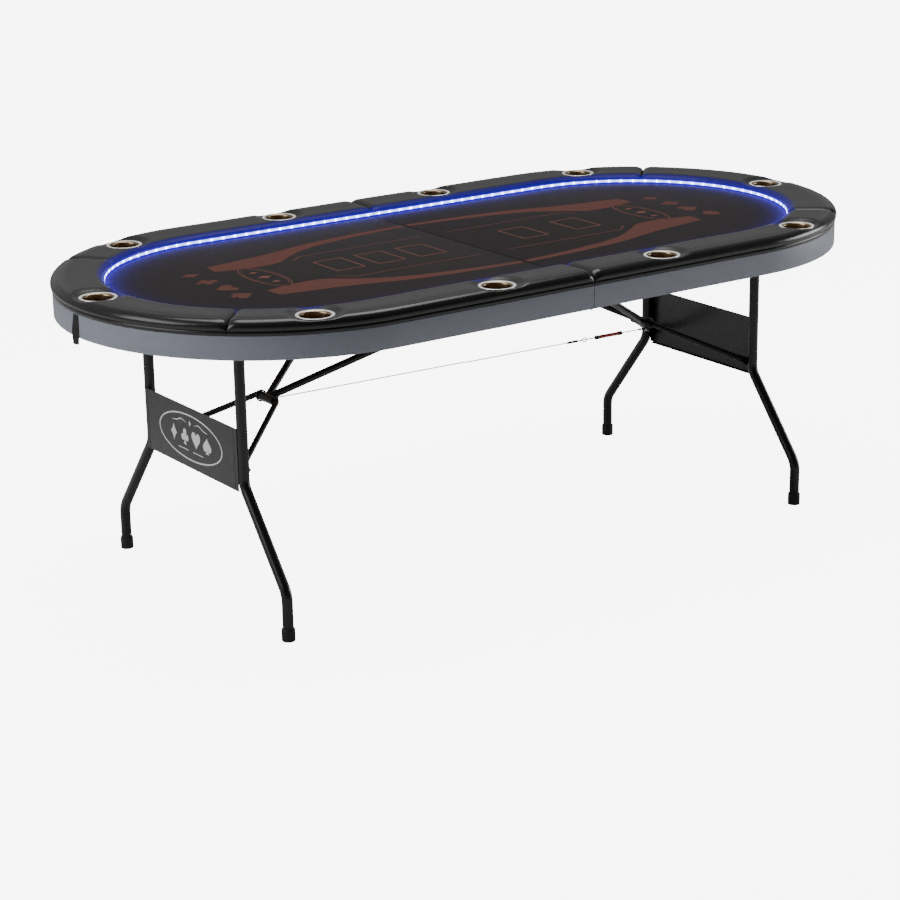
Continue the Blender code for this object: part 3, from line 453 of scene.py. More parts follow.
# Finishes -----------------------------------------------------------------------
class Finish:
    """A procedural material under construction."""

    def __init__(self, name, colour, roughness, metallic=0.0, specular=0.5):
        self.material = bpy.data.materials.new(name)
        self.material.use_nodes = True
        self.material.diffuse_color = (*colour, 1.0)
        self.tree = self.material.node_tree
        self.shader = self.tree.nodes["Principled BSDF"]
        self.set("Base Color", (*colour, 1.0))
        self.set("Roughness", roughness)
        self.set("Metallic", metallic)
        self.set("Specular IOR Level", specular)
        self.place = self.node("TexCoord").outputs["Object"]
        self.x, self.y, self.z = self.node("SeparateXYZ", self.place).outputs

    def set(self, key, value):
        self.feed(self.shader.inputs[key], value)

    def feed(self, socket, value):
        if isinstance(value, bpy.types.NodeSocket):
            self.tree.links.new(value, socket)
        else:
            socket.default_value = value

    def node(self, kind, *values, **settings):
        made = self.tree.nodes.new("ShaderNode" + kind)
        for key, value in settings.items():
            setattr(made, key, value)
        for socket, value in zip(made.inputs, values):
            self.feed(socket, value)
        return made

    def math(self, operation, first, second=0.0):
        return self.node("Math", first, second, operation=operation).outputs[0]

    def plus(self, first, second):
        return self.math("ADD", first, second)

    def minus(self, first, second):
        return self.math("SUBTRACT", first, second)

    def times(self, first, second):
        return self.math("MULTIPLY", first, second)

    def stretch(self, x, y, z):
        """Coordinates scaled by a factor on each axis."""
        return self.node("VectorMath", self.place, (x, y, z), operation="MULTIPLY").outputs[0]

    def textured(self, kind, output, place, inputs, **settings):
        made = self.node(kind, **settings)
        self.feed(made.inputs["Vector"], place or self.place)
        for key, value in inputs.items():
            self.feed(made.inputs[key], value)
        return made.outputs[output]

    def noise(self, scale, detail=2.0, place=None, roughness=0.5):
        inputs = {"Scale": scale, "Detail": detail, "Roughness": roughness}
        return self.textured("TexNoise", "Fac", place, inputs)

    def cells(self, scale, feature="DISTANCE_TO_EDGE"):
        return self.textured("TexVoronoi", "Distance", None, {"Scale": scale}, feature=feature)

    def remap(self, value, low, high, new_low=0.0, new_high=1.0, style="SMOOTHSTEP"):
        made = self.node("MapRange", value, low, high, new_low, new_high, interpolation_type=style)
        return made.outputs[0]

    def blend(self, factor, first, second):
        """Mix of two colours."""
        made = self.node("Mix", data_type="RGBA")
        for index, value in ((0, factor), (6, first), (7, second)):
            self.feed(made.inputs[index], (*value, 1.0) if isinstance(value, tuple) else value)
        return made.outputs[2]

    def bump(self, height, distance, strength):
        """Relief added over any relief that is there already."""
        made = self.node("Bump")
        for key, value in (("Strength", strength), ("Distance", distance), ("Height", height)):
            self.feed(made.inputs[key], value)
        for link in self.shader.inputs["Normal"].links:
            self.feed(made.inputs["Normal"], link.from_socket)
        self.set("Normal", made.outputs[0])

    def vary_colour(self, first, second, factor):
        self.set("Base Color", self.blend(factor, first, second))

    def vary_roughness(self, low, high, factor):
        self.set("Roughness", self.remap(factor, 0.3, 0.7, low, high))

    def emit(self, colour, strength):
        self.set("Emission Color", (*colour, 1.0) if isinstance(colour, tuple) else colour)
        self.set("Emission Strength", strength)

    def track_field(self):
        """Distance in from the table's outline, and distance along it."""
        across = self.math("ABSOLUTE", self.x)
        beyond = self.math("MAXIMUM", self.minus(across, END_CENTRE), 0.0)
        flat = self.node("CombineXYZ", beyond, self.y, 0.0).outputs[0]
        radius = self.node("VectorMath", flat, operation="LENGTH").outputs["Value"]
        turn = self.math("ARCTAN2", beyond, self.math("ABSOLUTE", self.y))
        straight = self.math("MINIMUM", across, END_CENTRE)
        return self.minus(HALF_WIDTH, radius), self.plus(straight, self.times(turn, LAMP_WALL_RADIUS))

    def fade(self, distance, reach):
        """Exponential fall of light with distance, which counts from 0 up."""
        distance = self.math("MAXIMUM", distance, 0.0)
        return self.math("EXPONENT", self.times(distance, -1.0 / reach))

    def scallops(self, along, low):
        """Brightness that swells beside each lamp of the strip."""
        wave = self.math("COSINE", self.times(along, math.tau / LAMP_PITCH))
        return self.remap(wave, -1.0, 1.0, 1.0, low, "LINEAR")

    def glow(self, amount):
        """Painted light: the strip's blue light falling on a surface, painted on as emission, paler where
        it is strong.
        """
        strong = self.remap(amount, 0.9, 2.2)
        self.emit(self.blend(strong, (0.045, 0.0, 1.0), (0.085, 0.050, 1.0)), amount)


def vinyl_finish():
    """Fine-grained black vinyl, with the strip's blue light painted on as emission where it faces the light
    strip.
    """
    made = Finish("black_vinyl", (0.011, 0.0115, 0.011), 0.28)
    made.vary_colour((0.0080, 0.0085, 0.0080), (0.0112, 0.0116, 0.0108), made.noise(5.0, 3.0))
    made.bump(made.remap(made.cells(620.0), 0.0, 0.18), 0.00005, 0.3)
    made.bump(made.noise(1500.0, 2.0), 0.00002, 0.25)
    inset, along = made.track_field()
    made.set("Roughness", made.remap(inset, 0.012, 0.045, 0.22, 0.35))
    wall = made.remap(made.z, INNER_TOP - 0.0003, INNER_TOP - 0.0040)
    facing = made.times(wall, made.remap(inset, RAIL_WIDTH - 0.025, RAIL_WIDTH - 0.012))
    made.set("Specular IOR Level", made.remap(facing, 0.0, 0.8, 0.5, 0.12))
    # Painted light: blue emission on the rail's inner wall, strongest just above the strip and beside each
    # lamp.
    near = made.times(made.fade(made.minus(made.z, STRIP_TOP), 0.0040), made.scallops(along, 0.75))
    amount = made.times(made.plus(made.times(near, 0.50), 0.15), facing)
    made.glow(made.times(amount, made.math("LESS_THAN", inset, RAIL_WIDTH + 0.002)))
    return made.material


def felt_finish(name, first, second, lit=1.0):
    """Playing cloth or print on it, with the strip's blue light painted on as emission along its edge."""
    made = Finish(name, first, 0.95, specular=0.15)
    made.set("Sheen Weight", 0.03)
    made.set("Sheen Roughness", 0.5)
    fibre = made.noise(900.0, 3.0, made.stretch(1.0, 0.35, 1.0))
    made.vary_colour(first, second, made.remap(fibre, 0.3, 0.7))
    made.bump(fibre, 0.00015, 0.5)
    made.bump(made.noise(2400.0, 1.0), 0.00006, 0.5)
    inset, along = made.track_field()
    inward = made.minus(inset, WALL_INSET)
    # Painted light: blue emission on the cloth, fading inward from the wall, with a swell beside each lamp.
    near = made.times(made.fade(inward, 0.006), made.scallops(along, 0.35))
    wide = made.times(made.fade(inward, 0.019), 0.50)
    made.glow(made.times(made.plus(made.times(near, 0.6), wide), lit))
    return made.material


def apron_finish():
    """Grey laminate with a fine grain that runs round the table."""
    made = Finish("grey_laminate", (0.25, 0.261, 0.315), 0.5)
    _, along = made.track_field()
    lined = made.node("CombineXYZ", made.times(along, 3.0), 0.0, made.z).outputs[0]
    grain = made.noise(260.0, 4.0, lined, 0.6)
    made.vary_colour((0.226, 0.236, 0.286), (0.274, 0.286, 0.344), grain)
    made.vary_roughness(0.42, 0.56, made.noise(700.0, 2.0))
    made.bump(grain, 0.00006, 0.5)
    return made.material


def board_finish():
    made = Finish("fibreboard", (0.20, 0.135, 0.080), 0.75)
    fibre = made.noise(420.0, 5.0, made.stretch(1.0, 2.2, 1.0))
    made.vary_colour((0.150, 0.098, 0.058), (0.240, 0.168, 0.104), fibre)
    made.bump(fibre, 0.00015, 0.6)
    return made.material


def steel_finish():
    """Drawn steel: a bright flange with a painted highlight, round a brown-toned inside."""
    made = Finish("drawn_steel", (0.78, 0.76, 0.72), 0.2, 1.0)
    inside = made.remap(made.z, CUP_FLANGE_TOP - 0.0013, CUP_FLANGE_TOP - 0.0003, 1.0, 0.0)
    rings = made.noise(900.0, 2.0, made.stretch(0.02, 0.02, 1.0))
    tint = made.blend(rings, (0.26, 0.185, 0.115), (0.40, 0.295, 0.19))
    made.vary_colour((0.93, 0.92, 0.89), tint, inside)
    made.set("Roughness", made.plus(made.times(rings, 0.16), 0.20))
    # Painted highlight: the flange glows near white as emission, in place of a reflection of the lights.
    made.emit((1.0, 0.98, 0.94), made.remap(inside, 0.0, 1.0, 0.42, 0.0))
    made.bump(rings, 0.00003, 0.4)
    return made.material


def powder_coat():
    made = Finish("powder_coat", (0.0085, 0.0085, 0.009), 0.3, specular=0.42)
    made.vary_colour((0.0065, 0.0065, 0.007), (0.0115, 0.0115, 0.012), made.noise(14.0, 3.0))
    made.vary_roughness(0.27, 0.31, made.noise(40.0, 2.0))
    made.bump(made.noise(120.0, 2.0), 0.00001, 0.3)
    return made.material


def zinc_finish():
    made = Finish("zinc_plate", (0.42, 0.43, 0.45), 0.35, 1.0)
    made.vary_colour((0.34, 0.35, 0.37), (0.52, 0.53, 0.54), made.cells(160.0, "F1"))
    made.vary_roughness(0.26, 0.46, made.noise(240.0, 3.0))
    made.bump(made.noise(900.0, 2.0), 0.00004, 0.4)
    return made.material


def plain_finish(name, first, second, roughness, metallic, scale, depth):
    """Moulded or drawn material with fine grain and slight colour variation."""
    made = Finish(name, first, roughness, metallic)
    grain = made.noise(scale, 3.0)
    made.vary_colour(first, second, made.noise(scale / 20, 3.0))
    made.vary_roughness(roughness * 0.85, min(roughness * 1.2, 1.0), grain)
    made.bump(grain, depth, 0.5)
    return made.material


def webbing_finish():
    """Woven tape whose threads cross."""
    made = Finish("webbing", (0.012, 0.012, 0.012), 0.85)
    down, over = (made.math("SINE", made.times(axis, math.tau / pitch))
                  for axis, pitch in ((made.z, 0.0016), (made.y, 0.0011)))
    weave = made.times(down, over)
    made.vary_colour((0.007, 0.007, 0.007), (0.022, 0.022, 0.023), made.remap(weave, -1.0, 1.0))
    made.bump(weave, 0.0003, 0.6)
    return made.material


def tape_finish():
    """Moulded tape: a white-blue core that swells at each lamp, with deep blue edges."""
    made = Finish("strip_tape", (0.30, 0.34, 0.8), 0.4)
    off = made.math("ABSOLUTE", made.minus(made.z, STRIP_MIDDLE))
    core = made.remap(off, 0.0018, 0.0036, 1.0, 0.0)
    beat = made.times(core, made.scallops(made.track_field()[1], 0.45))
    made.emit(made.blend(core, (0.0, 0.004, 1.0), (0.42, 0.50, 1.0)), made.plus(made.times(beat, 5.0), 1.0))
    return made.material


def lamp_finish():
    """Lit surface whose brightness ripples slightly, as through a moulded lens."""
    made = Finish("lamp_chip", (0.30, 0.34, 0.8), 0.4)
    made.emit((0.62, 0.70, 1.0), made.remap(made.noise(300.0, 1.0), 0.2, 0.8, 10.8, 13.2))
    return made.material


VINYL = vinyl_finish()
FELT = felt_finish("playing_cloth", (0.0130, 0.0098, 0.0100), (0.0190, 0.0142, 0.0142))
PRINT = felt_finish("cloth_print", (0.080, 0.028, 0.021), (0.106, 0.038, 0.028), 0.6)
FINE_PRINT = felt_finish("cloth_fine_print", (0.130, 0.048, 0.036), (0.170, 0.066, 0.048), 0.6)
APRON = apron_finish()
BOARD = board_finish()
STEEL = steel_finish()
COAT = powder_coat()
ZINC = zinc_finish()
RUBBER, ROPE, SILVER, RED, PLASTIC = (
    plain_finish(*settings) for settings in (
        ("rubber", (0.009, 0.009, 0.009), (0.014, 0.014, 0.014), 0.7, 0.0, 500.0, 0.0002),
        ("steel_rope", (0.50, 0.51, 0.52), (0.66, 0.67, 0.68), 0.38, 0.7, 900.0, 0.00003),
        ("silver_ink", (0.70, 0.72, 0.74), (0.84, 0.86, 0.88), 0.4, 0.1, 800.0, 0.00003),
        ("red_sleeve", (0.38, 0.020, 0.016), (0.50, 0.035, 0.028), 0.35, 0.0, 600.0, 0.00005),
        ("moulded_plastic", (0.012, 0.012, 0.013), (0.02, 0.02, 0.021), 0.45, 0.0, 700.0, 0.0001)))
WEBBING = webbing_finish()
STRIP = tape_finish()
LAMP = lamp_finish()


# Padded rails -------------------------------------------------------------------
def pad_section():
    """Section of a padded rail: wrapped base band, groove, then the full round pad."""
    section = [(RAIL_WIDTH * share, RAIL_LOW) for share in (1.0, 0.8, 0.6, 0.4, 0.2)]
    section += [(inset, RAIL_LOW + up) for inset, up in BASE_BAND]
    for angle in steps_between(SHOULDER_START, QUARTER, 16):
        inset = SHOULDER_WIDTH * (1 - math.cos(angle))
        section.append((inset, SHOULDER_LOW + SHOULDER_HEIGHT * math.sin(angle)))
    outer_top = SHOULDER_LOW + SHOULDER_HEIGHT
    crown = RAIL_WIDTH - SHOULDER_WIDTH - INNER_WIDTH
    for share in steps_between(0.0, 1.0, 18)[1:]:
        rise = (TOP - outer_top) * eased(share / CREST_SHARE)
        fall = INNER_FALL * eased((share - CREST_SHARE) / (1 - CREST_SHARE))
        section.append((SHOULDER_WIDTH + crown * share, outer_top + rise - fall))
    for angle in steps_between(QUARTER, 0.0, 14)[1:]:
        inset = RAIL_WIDTH - INNER_WIDTH * (1 - math.cos(angle))
        section.append((inset, INNER_TOP - INNER_HEIGHT * (1 - math.sin(angle))))
    heights = steps_between(INNER_TOP - INNER_HEIGHT, RAIL_LOW, 4)[1:-1]
    return section + [(RAIL_WIDTH, z) for z in heights]


def seam_spacing(length):
    """Distances along a pad, close together where it tucks in at a seam."""
    middle_end = length - TUCK_MARKS[-1]
    count = int((middle_end - TUCK_MARKS[-1]) / PAD_SPACING)
    marks = TUCK_MARKS + steps_between(TUCK_MARKS[-1], middle_end, count)[1:-1]
    return marks + [length - mark for mark in reversed(TUCK_MARKS)]


def pad_station(part, distance):
    """(centre x, angle) at a distance along a pad's middle line."""
    if part == "end":
        return END_CENTRE, SEAM_ANGLE - distance / RAIL_MIDDLE_RADIUS
    straight = END_CENTRE - FOLD_GAP
    if distance <= straight:
        return FOLD_GAP + distance, QUARTER
    return END_CENTRE, QUARTER - (distance - straight) / RAIL_MIDDLE_RADIUS


def crease(distance):
    """How far a pad has tucked in at a distance from its seam, from 1 to 0."""
    share = max(1 - distance / CREASE_LENGTH, 0.0)
    return 1 - math.sqrt(1 - share * share)


def pad_rows(side, part, cups):
    """Rows of points of one padded rail, tucked at its seams and pressed at its cups."""
    section = pad_section()
    length = END_CENTRE - FOLD_GAP + (QUARTER - SEAM_ANGLE) * RAIL_MIDDLE_RADIUS
    if part == "end":
        length = 2 * SEAM_ANGLE * RAIL_MIDDLE_RADIUS
    rows = []
    for mark in seam_spacing(length):
        centre_x, angle = pad_station(part, min(max(mark, SEAM_GAP), length - SEAM_GAP))
        tuck = crease(min(mark, length - mark))
        row = []
        for inset, z in section:
            weight = min(max((z - PAD_LOW) / (TOP - PAD_LOW), 0.0), 1.0)
            outward = 1 - min(inset / OUTER_PULL_WIDTH, 1.0)
            inward = max((inset - RAIL_WIDTH + INNER_PULL_WIDTH) / INNER_PULL_WIDTH, 0.0)
            pull = CREASE_DEPTH * tuck * weight ** 0.7
            inset += pull * (0.8 * outward - 0.3 * inward)
            point = ring_point(side, centre_x, angle, inset, z - pull)
            if part == "near":
                point.y = -point.y
            if point.z > TOP - SWELL_ZONE:
                swell = noise.noise(Vector((point.x * 9, point.y * 9, 3.7 + side)))
                point.z += SWELL_HEIGHT * (swell - 0.6)
            row.append(pressed(point, cups))
        rows.append(row)
    return rows


def pressed(point, cups):
    """A point of a pad, pushed down to the flange of a cup that is close by."""
    floor = CUP_FLANGE_TOP - CUP_WALL - 0.0002
    for place in cups:
        distance = math.hypot(point.x - place.x, point.y - place.y)
        if distance < CUP_DIP_RADIUS and point.z > floor:
            share = eased((CUP_DIP_RADIUS - distance) / (CUP_DIP_RADIUS - CUP_RIM_RADIUS)) ** 1.6
            return Vector((point.x, point.y, point.z + (floor - point.z) * share))
    return point


def add_rails(side, word):
    """Three padded rails, bored where their cups go."""
    low, high = RAIL_LOW - 0.01, TOP + 0.01
    bar = [(0, low), (CUP_HOLE_RADIUS, low), (CUP_HOLE_RADIUS, high), (0, high)]
    for part in ("near", "end", "far"):
        places = [place for name, place in cup_places(word).items() if name.startswith(part)]
        cutter = Shape()
        for place in places:
            cutter.lathe(bar, (place.x, place.y, 0), segments=64)
        pad = cut_out(Shape().grid(pad_rows(side, part, places)).mesh(50.0), cutter.mesh(30.0))
        make_piece(f"{word}_{part}_rail_pad", finish_mesh(pad, 50.0), f"{word}_half", VINYL,
                   [f"{word}_{part}_rail"])


# Playing surface ----------------------------------------------------------------
def add_cloth(side, word):
    """Padded board covered with playing cloth, rounded over at its edges."""
    rows = []
    for inward, z in ((0.0, FELT_LOW), (0.0, FELT_TOP - 0.0035), (0.0005, FELT_TOP - 0.0016),
                      (0.0016, FELT_TOP - 0.0005), (0.0036, FELT_TOP)):
        stations = half_path(FOLD_GAP + inward)
        rows.append([ring_point(side, x, angle, WALL_INSET + inward, z) for x, angle in stations])
    Shape().grid(rows).piece(f"{word}_playing_cloth", f"{word}_half", FELT, "felt",
                             [f"{word}_felt_pad"], 50)


INK_SINK, INK_LIFT = 0.0003, 0.00018
LAYER_STEP = 0.00002
WEDGE_OUTER = ((0.006, 0.262), (0.10, 0.258), (0.20, 0.250), (0.31, 0.235), (0.42, 0.205),
               (0.50, 0.188), (0.57, 0.178), (0.625, 0.168))
WEDGE_INNER = ((0.006, 0.243), (0.10, 0.235), (0.20, 0.221), (0.29, 0.203), (0.36, 0.176),
               (0.42, 0.136), (0.465, 0.103), (0.52, 0.097), (0.58, 0.104), (0.630, 0.117))
CARD_X = {-1: (0.125, 0.244, 0.360), 1: (0.185, 0.350)}
CARD_WIDTH, CARD_HEIGHT, CARD_LINE = 0.080, 0.114, 0.004
FRAME_LINE_Y = 0.128
SUITS = ("spade", "heart", "club", "diamond")
SUIT_X, SUIT_SIZE = 0.695, 0.056
EMBLEM_X = 0.565
BADGE_LOW, BADGE_HIGH = -0.0003, 0.0004


def heart():
    """Outline about one unit tall, with its point down."""
    outline = []
    for step in range(48):
        t = math.tau * (step + 0.5) / 48
        y = 13 * math.cos(t) - 5 * math.cos(2 * t) - 2 * math.cos(3 * t) - math.cos(4 * t)
        outline.append((math.sin(t) ** 3 / 2, (y + 2.5) / 29))
    return outline


def pip(kind):
    """Outlines of a card suit, about one unit tall and centred."""
    if kind == "heart":
        return [heart()]
    if kind == "diamond":
        corners = ((0.0, 0.52), (0.34, 0.0), (0.0, -0.52), (-0.34, 0.0))
        outline = []
        for (x0, y0), (x1, y1) in zip(corners, corners[1:] + corners[:1]):
            for t in steps_between(0.0, 1.0, 6)[:-1]:
                bow = 1 - 0.16 * math.sin(math.pi * t)
                outline.append(((x0 + (x1 - x0) * t) * bow, (y0 + (y1 - y0) * t) * bow))
        return [outline]
    right = smooth_line([(0.03, 0.02), (0.045, -0.20), (0.09, -0.36), (0.20, -0.48)], 5)
    stem = [(p.x, p.y) for p in right] + [(-p.x, p.y) for p in reversed(right)]
    if kind == "spade":
        return [[(x * 0.95, 0.08 - y * 0.86) for x, y in heart()], stem]
    lobes = [ellipse(centre, 0.20, 0.20, 28) for centre in ((0, 0.27), (-0.22, -0.06), (0.22, -0.06))]
    return lobes + [stem, ellipse((0, 0.05), 0.12, 0.14, 20)]


class Print(Shape):
    """Thin raised layers on a face; spot(u, v, lift) gives a point of the face."""

    def __init__(self, spot, low, high):
        super().__init__()
        self.spot, self.low, self.high = spot, low, high

    def patch(self, outline, layer=0):
        """Filled outline.  Layers start at different depths, so that no two faces agree."""
        start = self.low - layer * LAYER_STEP
        shift = Vector(self.spot(0, 0, self.high - self.low)) - Vector(self.spot(0, 0, 0))
        self.prism([self.spot(u, v, start) for u, v in outline], shift)

    def suit(self, kind, u, v, size, turned=False):
        for layer, outline in enumerate(pip(kind)):
            if turned:
                outline = [(-y, x) for x, y in outline]
            self.patch([(u + x * size, v + y * size) for x, y in outline], layer)

    def band(self, outer, inner):
        """Closed band between two outlines with as many points."""
        rows = []
        for first, second in zip(outer, inner):
            rows.append([self.spot(*first, self.low), self.spot(*first, self.high),
                         self.spot(*second, self.high), self.spot(*second, self.low)])
        self.grid(rows, round_rows=True)


def add_cloth_print(side, word):
    """Design printed on the playing cloth of one half."""
    def on_cloth(x, y, lift):
        return side * x, y, FELT_TOP + lift

    bold, fine = (Print(on_cloth, -INK_SINK, INK_LIFT) for _ in range(2))
    for mirror in (-1, 1):
        outer = [(p.x, mirror * p.y) for p in smooth_line(WEDGE_OUTER)]
        bold.patch(outer + [(p.x, mirror * p.y) for p in smooth_line(WEDGE_INNER)][::-1])
        y = mirror * FRAME_LINE_Y
        line = [(0.040, y), (0.395, y), (0.430, y - mirror * 0.030), (0.4275, y - mirror * 0.0310),
                (0.394, y - mirror * 0.0026), (0.040, y - mirror * 0.0026)]
        fine.patch(line)
    for kind, y in zip(SUITS, (-0.120, -0.040, 0.040, 0.120)):
        bold.suit(kind, SUIT_X, y, SUIT_SIZE, turned=True)
    for x in CARD_X[side]:
        fine.band(rounded_box((x, 0), (CARD_WIDTH, CARD_HEIGHT), CARD_LINE),
                  rounded_box((x, 0), (CARD_WIDTH - 2 * CARD_LINE, CARD_HEIGHT - 2 * CARD_LINE),
                              CARD_LINE / 2))
    for outer, inner in (((0.040, 0.105), (0.0375, 0.1022)), ((0.034, 0.094), (0.0328, 0.0926))):
        fine.band(ellipse((EMBLEM_X, 0), *outer), ellipse((EMBLEM_X, 0), *inner))
    for y, size in ((-0.052, 0.026), (0.0, 0.040), (0.052, 0.026)):
        fine.suit("diamond", EMBLEM_X, y, size, turned=True)
    bold.piece(f"{word}_cloth_print", f"{word}_half", PRINT, "felt")
    fine.piece(f"{word}_cloth_fine_print", f"{word}_half", FINE_PRINT, "felt")


def add_badge(side, word):
    """Oval ring with a row of card suits on the outer face of a leg panel."""
    centre_z = (PANEL_LOW.z + PANEL_HIGH.z) / 2 + 0.001

    def on_panel(u, v, lift):
        return side * (PANEL_FACE_X + lift), -side * u, centre_z + v

    badge = Print(on_panel, BADGE_LOW, BADGE_HIGH)
    badge.band(ellipse((0, 0), 0.148, 0.056), ellipse((0, 0), 0.1438, 0.0524))
    for kind, u in zip(SUITS, (-0.078, -0.026, 0.026, 0.078)):
        badge.suit(kind, u, -0.002, 0.040)
    badge.suit("diamond", 0, 0.035, 0.016)
    sweep = smooth_line([(0.018, 0.033), (0.040, 0.037), (0.062, 0.030), (0.084, 0.028)], 6)
    for mirror in (-1, 1):
        under = [(mirror * p.x, p.y) for p in sweep]
        over = [(u, v + 0.0022 * math.sin(math.pi * i / (len(sweep) - 1)) + 0.0006)
                for i, (u, v) in enumerate(under)]
        badge.patch(under + over[::-1])
        near, far = mirror * 0.010, mirror * 0.058
        badge.patch([(near, -0.0335), (far, -0.0335), (far, -0.0315), (near, -0.0315)])
    badge.piece(f"{word}_panel_badge", f"{word}_leg_frame", SILVER, "frame_black")


# Light strip, boards and cups ---------------------------------------------------
def add_light_strip(side, word):
    """Tape on the rail's inner wall, with its row of lamps."""
    section = rounded_box((WALL_INSET + STRIP_SHEET / 2, STRIP_MIDDLE),
                          (STRIP_SHEET, STRIP_TOP - STRIP_LOW), 0.0003, 2)
    Shape().sweep(side, section).piece(f"{word}_light_tape", f"{word}_half", STRIP, "light",
                                       [f"{word}_light_strip"])
    lamps = Shape()
    for index in range(LAMP_COUNT):
        mark = (index + 0.5) * LAMP_PITCH
        centre_x = min(mark, LAMP_RUN - mark, END_CENTRE)
        turned = (mark - END_CENTRE) / LAMP_WALL_RADIUS
        angle = QUARTER - min(max(turned, 0.0), math.pi)
        place = ring_point(side, centre_x, angle, WALL_INSET + 0.0006, STRIP_MIDDLE)
        inward = Vector((-side * math.cos(angle), -math.sin(angle), 0))
        across = Vector((-inward.y, inward.x, 0)) * (LAMP_SIZE / 2)
        above = Vector((0, 0, LAMP_SIZE / 2))
        outline = [place + across * u + above * v for u, v in ((-1, -1), (1, -1), (1, 1), (-1, 1))]
        lamps.prism(outline, inward * LAMP_RISE)
    lamps.piece(f"{word}_lamp_chips", f"{word}_half", LAMP, "light")


def add_boards(side, word):
    section = rounded_box((APRON_INSET + APRON_SHEET / 2, (APRON_LOW + APRON_TOP) / 2),
                          (APRON_SHEET, APRON_TOP - APRON_LOW), 0.0010, 3)
    Shape().sweep(side, section).piece(f"{word}_apron_board", f"{word}_half", APRON, "apron",
                                       [f"{word}_apron"])
    deck = frame["nodes"][f"{word}_deck_board"]
    deck.data.materials.clear()
    deck.data.materials.append(BOARD)


def add_cups(side, word):
    """Drawn cups: rolled flange, eased mouth, tapered wall, stepped floor."""
    rim, under = CUP_FLANGE_RADIUS, CUP_FLANGE_TOP - CUP_WALL
    profile = [(0.0, CUP_FLOOR)]
    profile += arc((0.0295, CUP_FLOOR + 0.0030), (0.0030, 0.0030), -QUARTER, 0.0, 4)
    profile += [(CUP_RADIUS - 0.0003, under - 0.0050), (CUP_RADIUS + 0.0010, under - 0.0018),
                (CUP_RADIUS + 0.0036, under - 0.0004), (rim - 0.0008, under - 0.0002)]
    profile += arc((rim - 0.0008, CUP_FLANGE_TOP - 0.0008), (0.0008, 0.0009), -QUARTER, QUARTER, 6)
    profile.append((rim - 0.0020, CUP_FLANGE_TOP + 0.0003))
    profile += arc((CUP_MOUTH_RADIUS, CUP_FLANGE_TOP - CUP_MOUTH_DEPTH),
                   (CUP_MOUTH_RADIUS - CUP_RADIUS + 0.0017, CUP_MOUTH_DEPTH), QUARTER, 2 * QUARTER, 8)
    profile.append((CUP_RADIUS - 0.0019, CUP_FLANGE_TOP - 0.020))
    profile += arc((0.0278, CUP_FLOOR + 0.0048), (0.0032, 0.0032), 0.0, -QUARTER, 4)
    profile += [(0.0225, CUP_FLOOR + 0.0016), (0.0215, CUP_FLOOR + 0.0026), (0.0, CUP_FLOOR + 0.0026)]
    for name, place in cup_places(word).items():
        Shape().lathe(profile, (place.x, place.y, 0), segments=72).piece(
            f"{word}_{name}_drawn", f"{word}_half", STEEL, "steel", [f"{word}_{name}"], 40)


# Leg frames ---------------------------------------------------------------------
def add_leg_frame(side, word):
    body = f"{word}_leg_frame"
    cap = [(0, 0.0), (0.0140, 0.0), (0.0152, 0.0004), (0.0158, 0.0016), (0.0158, 0.0060),
           (0.0155, 0.0066), (0.0155, 0.0074), (0.0158, 0.0080), (0.0158, 0.0270), (0.0154, 0.0290),
           (0.0144, 0.0300), (0.0130, 0.0298), (0.0128, 0.0285), (0.0128, 0.0040), (0, 0.0040)]
    x, tab_face = side * LEG_X, TAB_Y - 0.0029
    pin_x, pin_z = side * BRACE_FOOT.x, BRACE_FOOT.y
    for sign, end in ENDS:
        top_y, foot_y = sign * TUBE_Y_TOP, sign * TUBE_Y_FOOT
        corners = [(x, top_y, PIVOT_Z + 0.013), (x, top_y, UPPER_BEND_Z), (x, foot_y, LOWER_BEND_Z),
                   (x, foot_y, 0.0045)]
        tube = Shape().tube(rounded_path(corners, TUBE_BEND_RADIUS), TUBE_RADIUS, ALONG_X, 36)
        pin = [(pin_x, sign * y, pin_z) for y in (TUBE_Y_TOP - 0.006, tab_face)]
        tube.tube(pin, 0.0040, ALONG_Z, 20)
        tube.hex_head((pin_x, sign * tab_face, pin_z), (0, -sign, 0), 0.0062, 0.0036)
        tube.piece(f"{word}_{end}_leg", body, COAT, "frame_black", [f"{word}_{end}_leg_tube"])
        foot = Shape().lathe(cap, (x, foot_y, 0), segments=40)
        foot.piece(f"{word}_{end}_foot", body, RUBBER, "rubber", [f"{word}_{end}_foot_cap"])
    add_panel(side, word)
    add_badge(side, word)


def add_panel(side, word):
    """Sheet between the legs, its lower edge bent in to a flange."""
    outer_x, inner_x = PANEL_FACE_X, PANEL_FACE_X - PANEL_SHEET
    low, high = PANEL_LOW.z, PANEL_HIGH.z
    face = high - low - PANEL_BEND
    section = [(inner_x, high), (outer_x, high)]
    section += [(outer_x, high - face * share) for share in (0.02, 0.5, 1.0)]
    bend_centre = (outer_x - PANEL_BEND, low + PANEL_BEND)
    section += arc(bend_centre, (PANEL_BEND, PANEL_BEND), 0.0, -QUARTER, 5)[1:]
    section += [(inner_x - PANEL_FLANGE, low), (inner_x - PANEL_FLANGE, low + PANEL_SHEET)]
    tight = PANEL_BEND - PANEL_SHEET
    section += arc(bend_centre, (tight, tight), -QUARTER, 0.0, 3)
    panel = Shape().grid([[(side * x, y, z) for x, z in section]
                          for y in (-PANEL_HALF_WIDTH, PANEL_HALF_WIDTH)])
    x_low, x_high = sorted((side * inner_x, side * outer_x))
    for sign in (-1, 1):
        y_low, y_high = sorted((sign * (PANEL_HALF_WIDTH - 0.002), sign * PANEL_HIGH.y))
        panel.block((x_low, y_low, low + 0.0012), (x_high, y_high, high), 0.0003, 1)
    panel.piece(f"{word}_leg_plate", f"{word}_leg_frame", COAT, "frame_black",
                [f"{word}_leg_panel"], 30)


